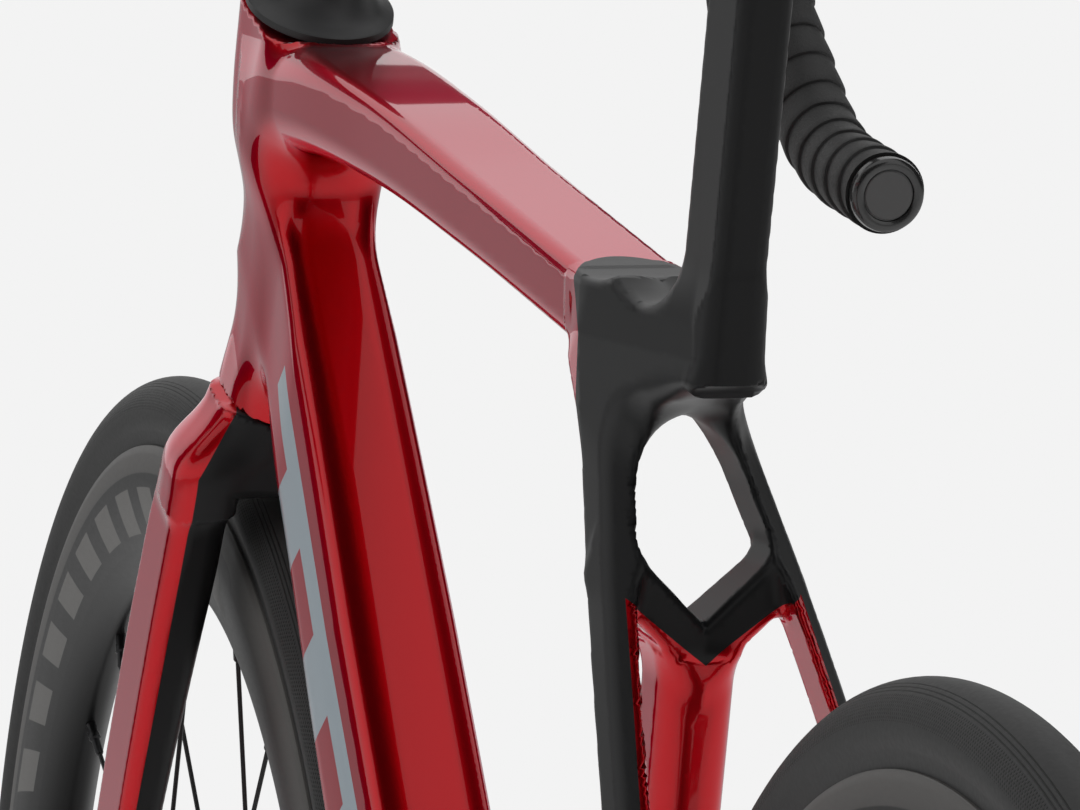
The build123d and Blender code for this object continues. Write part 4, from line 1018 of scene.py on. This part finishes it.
# %% The drop's path, with its bends rounded
def rounded_path(corners, spacing=0.5):
    """Even points along straight runs joined by arcs; a corner is a place and a radius."""
    points = [np.array(corners[0][:3], float)]
    for before, corner, after in zip(corners, corners[1:], corners[2:]):
        place = np.array(corner[:3], float)
        back = np.array(before[:3]) - place
        ahead = np.array(after[:3]) - place
        back, ahead = back / np.linalg.norm(back), ahead / np.linalg.norm(ahead)
        half = math.acos(np.clip(back @ ahead, -1, 1)) / 2
        reach = corner[3] / math.tan(half)
        middle = place + (back + ahead) / np.linalg.norm(back + ahead) * corner[3] / math.sin(half)
        start, stop = place + back * reach - middle, place + ahead * reach - middle
        sweep = math.acos(np.clip(start @ stop / corner[3] ** 2, -1, 1))
        points += [middle + (math.sin((1 - share) * sweep) * start + math.sin(share * sweep) * stop)
                   / math.sin(sweep) for share in np.linspace(0, 1, 13)]
    points = np.array(points + [np.array(corners[-1][:3], float)])
    length = np.append(0, np.linalg.norm(np.diff(points, axis=0), axis=1).cumsum())
    even = np.linspace(0, length[-1], int(length[-1] / spacing))
    return even, np.stack([np.interp(even, length, points[:, axis]) for axis in range(3)], -1)


# %% The spiral strip
tape_pitch, tape_inner, tape_step, around = 15.6, 14.2, 1.25, 56
turn_profile = ((0.0, 0.0), (0.22, 0.35), (0.5, 0.68), (0.78, 0.94), (0.93, 1.0), (0.985, 0.82))
drop_corners = ((471.6, 150.0, 611.4), (471.6, 210.0, 611.4, 26.0), (562.6, 210.0, 615.4, 28.0),
                (536.6, 216.5, 552.4, 90.0), (480.6, 220.4, 502.4, 90.0), (413.6, 223.0, 493.4))


def wound(side):
    """Points and quads of the tape on one side, and the drop's end and direction."""
    even, path = rounded_path([(ahead, out * side, *rest) for ahead, out, *rest in drop_corners])
    ahead = np.gradient(path, axis=0)
    ahead /= np.linalg.norm(ahead, axis=1, keepdims=True)
    across = np.zeros_like(path)
    across[0] = (0.0, 0.0, 1.0)
    for index in range(1, len(path)):
        across[index] = across[index - 1] - ahead[index] * (across[index - 1] @ ahead[index])
        across[index] /= np.linalg.norm(across[index])
    wraps = int(even[-1] / tape_pitch) + 2
    size = len(turn_profile)
    turns = (np.arange(around) * (2 * math.pi / around))[:, None]
    rings = []
    for wrap in range(-1, wraps):
        for share, rise in turn_profile:
            place = (wrap + share + np.arange(around) / around) * tape_pitch
            place = np.clip(place, 0.0, even[-1])
            middle, up, on = (np.stack([np.interp(place, even, values[:, axis])
                                        for axis in range(3)], -1)
                              for values in (path, across, ahead))
            rings.append(middle + (tape_inner + tape_step * rise)
                         * (np.cos(turns) * up + np.sin(turns) * np.cross(on, up)))
    quads = []
    for ring in range(len(rings) - 1 - size):
        for turn in range(around):
            next_ring, next_turn = (ring, turn + 1) if turn + 1 < around else (ring + size, 0)
            quads.append((ring * around + turn, (ring + 1) * around + turn,
                          (next_ring + 1) * around + next_turn, next_ring * around + next_turn))
    return np.concatenate(rings), quads, path[-1], ahead[-1]


# %% Tape and plugs on both drops
tape_finish = Finish("bar_tape")
grain = tape_finish.noise(1.1, 4.0, (0.5, 1.0, 1.0))
streaks = tape_finish.noise(0.7, 3.0, (0.35, 1.6, 0.7))
tape_finish.set(Base_Color=(grain * 0.5 + streaks * 0.5).mix((0.010, 0.010, 0.010),
                                                             (0.034, 0.034, 0.034)),
                Roughness=streaks * 0.3 + 0.45, Specular_IOR_Level=0.35,
                Normal=tape_finish.bump(grain * 0.4 + streaks * 0.6, 0.00035))
plug_ring = Finish("plug_ring")
plug_ring.set(Base_Color=(0.012, 0.012, 0.012, 1.0), Coat_Weight=0.6,
              Roughness=plug_ring.noise(2.0) * 0.1 + 0.2)
plug_disc = Finish("plug_disc")
plug_disc.set(Base_Color=(0.085, 0.085, 0.085, 1.0), Specular_IOR_Level=0.3,
              Roughness=plug_disc.noise(1.5) * 0.1 + 0.45)
ring_section = [(0.0, 0.2), (13.6, 0.2), (14.3, 0.6), (14.4, 2.4), (13.9, 4.2), (12.9, 5.0),
                (11.4, 5.2), (9.9, 4.7), (9.6, 4.0), (0.0, 4.0)]
disc_section = [(0.0, 3.6), (9.3, 3.6), (9.3, 4.5), (8.9, 4.9), (0.0, 4.95)]
plug_steps = 64
for side, sign in (("left", 1), ("right", -1)):
    points, quads, drop_end, drop_line = wound(sign)
    tape = piece_from(side + "_wound_tape", points, quads, "steering", tape_finish, "tape", 40.0)
    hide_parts(side + "_bar_tape")
    ring = piece_from(side + "_plug_ring", *turned(ring_section, drop_end, drop_line, plug_steps),
                      "steering", plug_ring, "plug")
    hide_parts(side + "_bar_plug")
    piece_from(side + "_plug_disc", *turned(disc_section, drop_end, drop_line, plug_steps),
               "steering", plug_disc, "plug")

# %% [markdown]
# ## The saddle
# A road saddle is a thin crowned pad on a firm shell, with a channel down its middle. Cloth
# with pressure would blow it up like a cushion, and this foam is too firm for that. So the
# pad is sections drawn from tail to nose, and every section has its own crown, channel and
# tucked edge.

# %% Sections from tail to nose
saddle_low, saddle_high = (from_bracket(corner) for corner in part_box("saddle"))
end_gap, pad_sunk = 1.0, 0.6
saddle_tail, saddle_nose = float(saddle_low[0]) + end_gap, float(saddle_high[0]) - end_gap
width_along = ((0.0, 0.05, 0.13, 0.24, 0.36, 0.50, 0.64, 0.80, 0.93, 1.0),
               (26.0, 52.0, 66.0, 72.5, 67.0, 45.0, 27.5, 20.5, 18.5, 11.0))
top_along = ((0.0, 0.1, 0.3, 0.55, 0.85, 1.0), (706.0, 708.3, 705.5, 704.0, 706.0, 701.0))
drop_along = ((0.0, 0.1, 0.3, 0.55, 0.85, 1.0), (14.0, 21.0, 24.0, 26.0, 22.0, 15.0))
stations, section_points, first_turn = 150, 88, 0.03
side_power, top_power, upper_part, lower_part = 0.62, 0.8, 0.55, 0.45
crown_rise, crown_slant, channel_deep, channel_half, channel_side = 3.0, 0.08, 4.5, 7.5, 0.3
channel_start, channel_end, channel_fade = 0.10, 0.86, 0.08


def saddle_sections():
    """Closed rounded sections from tail to nose, with a crown and a channel."""
    turn = np.linspace(0, 2 * math.pi, section_points, endpoint=False)
    side, up = (np.sign(way) * np.abs(way) ** power for way, power in
                ((np.cos(turn), side_power), (np.sin(turn), top_power)))
    rows = []
    for share in 0.5 - 0.5 * np.cos(np.linspace(first_turn, math.pi - first_turn, stations)):
        half = np.interp(share, *width_along)
        top, drop = np.interp(share, *top_along) - pad_sunk, np.interp(share, *drop_along)
        out = side * half
        crown = (out / max(half, 1.0)) ** 2 * (crown_rise + crown_slant * half)
        height = (top - drop * upper_part + up * drop * np.where(up > 0, upper_part, lower_part)
                  - crown * np.minimum(1, 1 + up))
        channel = channel_deep * np.exp(-(out / channel_half) ** 2) * (up > channel_side) * np.clip(
            min(share - channel_start, channel_end - share) / channel_fade, 0, 1)
        x = saddle_tail + share * (saddle_nose - saddle_tail)
        rows.append(np.stack((np.full_like(out, x), out, height - channel), -1))
    return np.concatenate(rows), ring_quads(stations, section_points)


print("the saddle is", round(saddle_nose - saddle_tail), "mm long and",
      round(2 * max(width_along[1])), "mm wide")

# %% The cover's finish and the pad
saddle_cover = Finish("saddle_cover")
grip = saddle_cover.noise(0.9, 3.0)
creases = saddle_cover.noise(14.0, 4.0)
hole_pitch, hole_radius, hole_inner, hole_outer, hole_front = 4.2, 0.14, 14.0, 46.0, -190.0
across, down = staggered(saddle_cover.y / hole_pitch, saddle_cover.x / hole_pitch)
out = saddle_cover.y.absolute()
# The perforations are bumped and also painted near black: this is painted shade in the holes.
holes = (hole_radius - across.hypot(down)).edge(0.04) * (out - hole_inner).ramp(0.0, 1.0)
holes = holes * (hole_outer - out).ramp(0.0, 1.0) * (saddle_cover.x < hole_front)
saddle_cover.set(Base_Color=holes.mix(creases.mix((0.014, 0.014, 0.0145), (0.026, 0.026, 0.027)),
                                      (0.004, 0.004, 0.004)),
                 Roughness=grip * 0.12 + 0.5, Specular_IOR_Level=0.35,
                 Normal=saddle_cover.bump(grip * 0.15 + creases * 0.2 - holes, 0.0004))
pad = piece_from("saddle_pad", *saddle_sections(), "frame", saddle_cover, "cover", 60.0)
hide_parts("saddle")

# %% [markdown]
# ## Everything else keeps its own solid
# Hubs, rotors, chain, levers and the crank are right as they were built. Each slot of the
# record gets one finish: brushed steel, dark anodised alloy, oiled chain, rubber hoods.

# %% A finish for each slot
def machined(name, dark, light, metallic, rough, grain_size, stretch=(1.0, 1.0, 1.0), height=0.1):
    """Metal or moulding with fine grain in its colour, gloss and surface."""
    finish = Finish(name)
    grain = finish.noise(grain_size, 3.0, stretch)
    cloud = finish.noise(30.0, 2.0)
    finish.set(Base_Color=(grain * 0.6 + cloud * 0.4).mix(dark, light), Metallic=metallic,
               Roughness=grain * 0.16 + rough, Normal=finish.bump(grain, 0.0001, height))
    return finish


def grey(value):
    """A grey with a trace of blue."""
    return (value, value, value * 1.02)


slot_finish = {
    "black_alloy": machined("black_alloy", grey(0.020), grey(0.036), 0.75, 0.30, 1.2),
    "steel": machined("brushed_steel", grey(0.42), grey(0.56), 1.0, 0.24, 0.8, (1.0, 0.2, 1.0)),
    "chain": machined("oiled_chain", grey(0.16), grey(0.34), 1.0, 0.26, 2.5),
    "spoke": machined("black_spoke", grey(0.012), grey(0.020), 0.6, 0.28, 2.0),
    "hood": machined("rubber_hood", grey(0.014), grey(0.022), 0.0, 0.55, 0.9, height=0.9),
    "black_carbon": machined("satin_carbon", grey(0.014), grey(0.019), 0.0, 0.36, 3.0),
}
for row in frame["record"]["subparts"]:
    finish = slot_finish.get(row["material_slot"])
    if finish:
        mesh = frame["nodes"][row["node"]].data
        mesh.materials.clear()
        mesh.materials.append(finish.material)
        mesh.polygons.foreach_set("material_index", [0] * len(mesh.polygons))
print("slots finished:", ", ".join(sorted(slot_finish)))
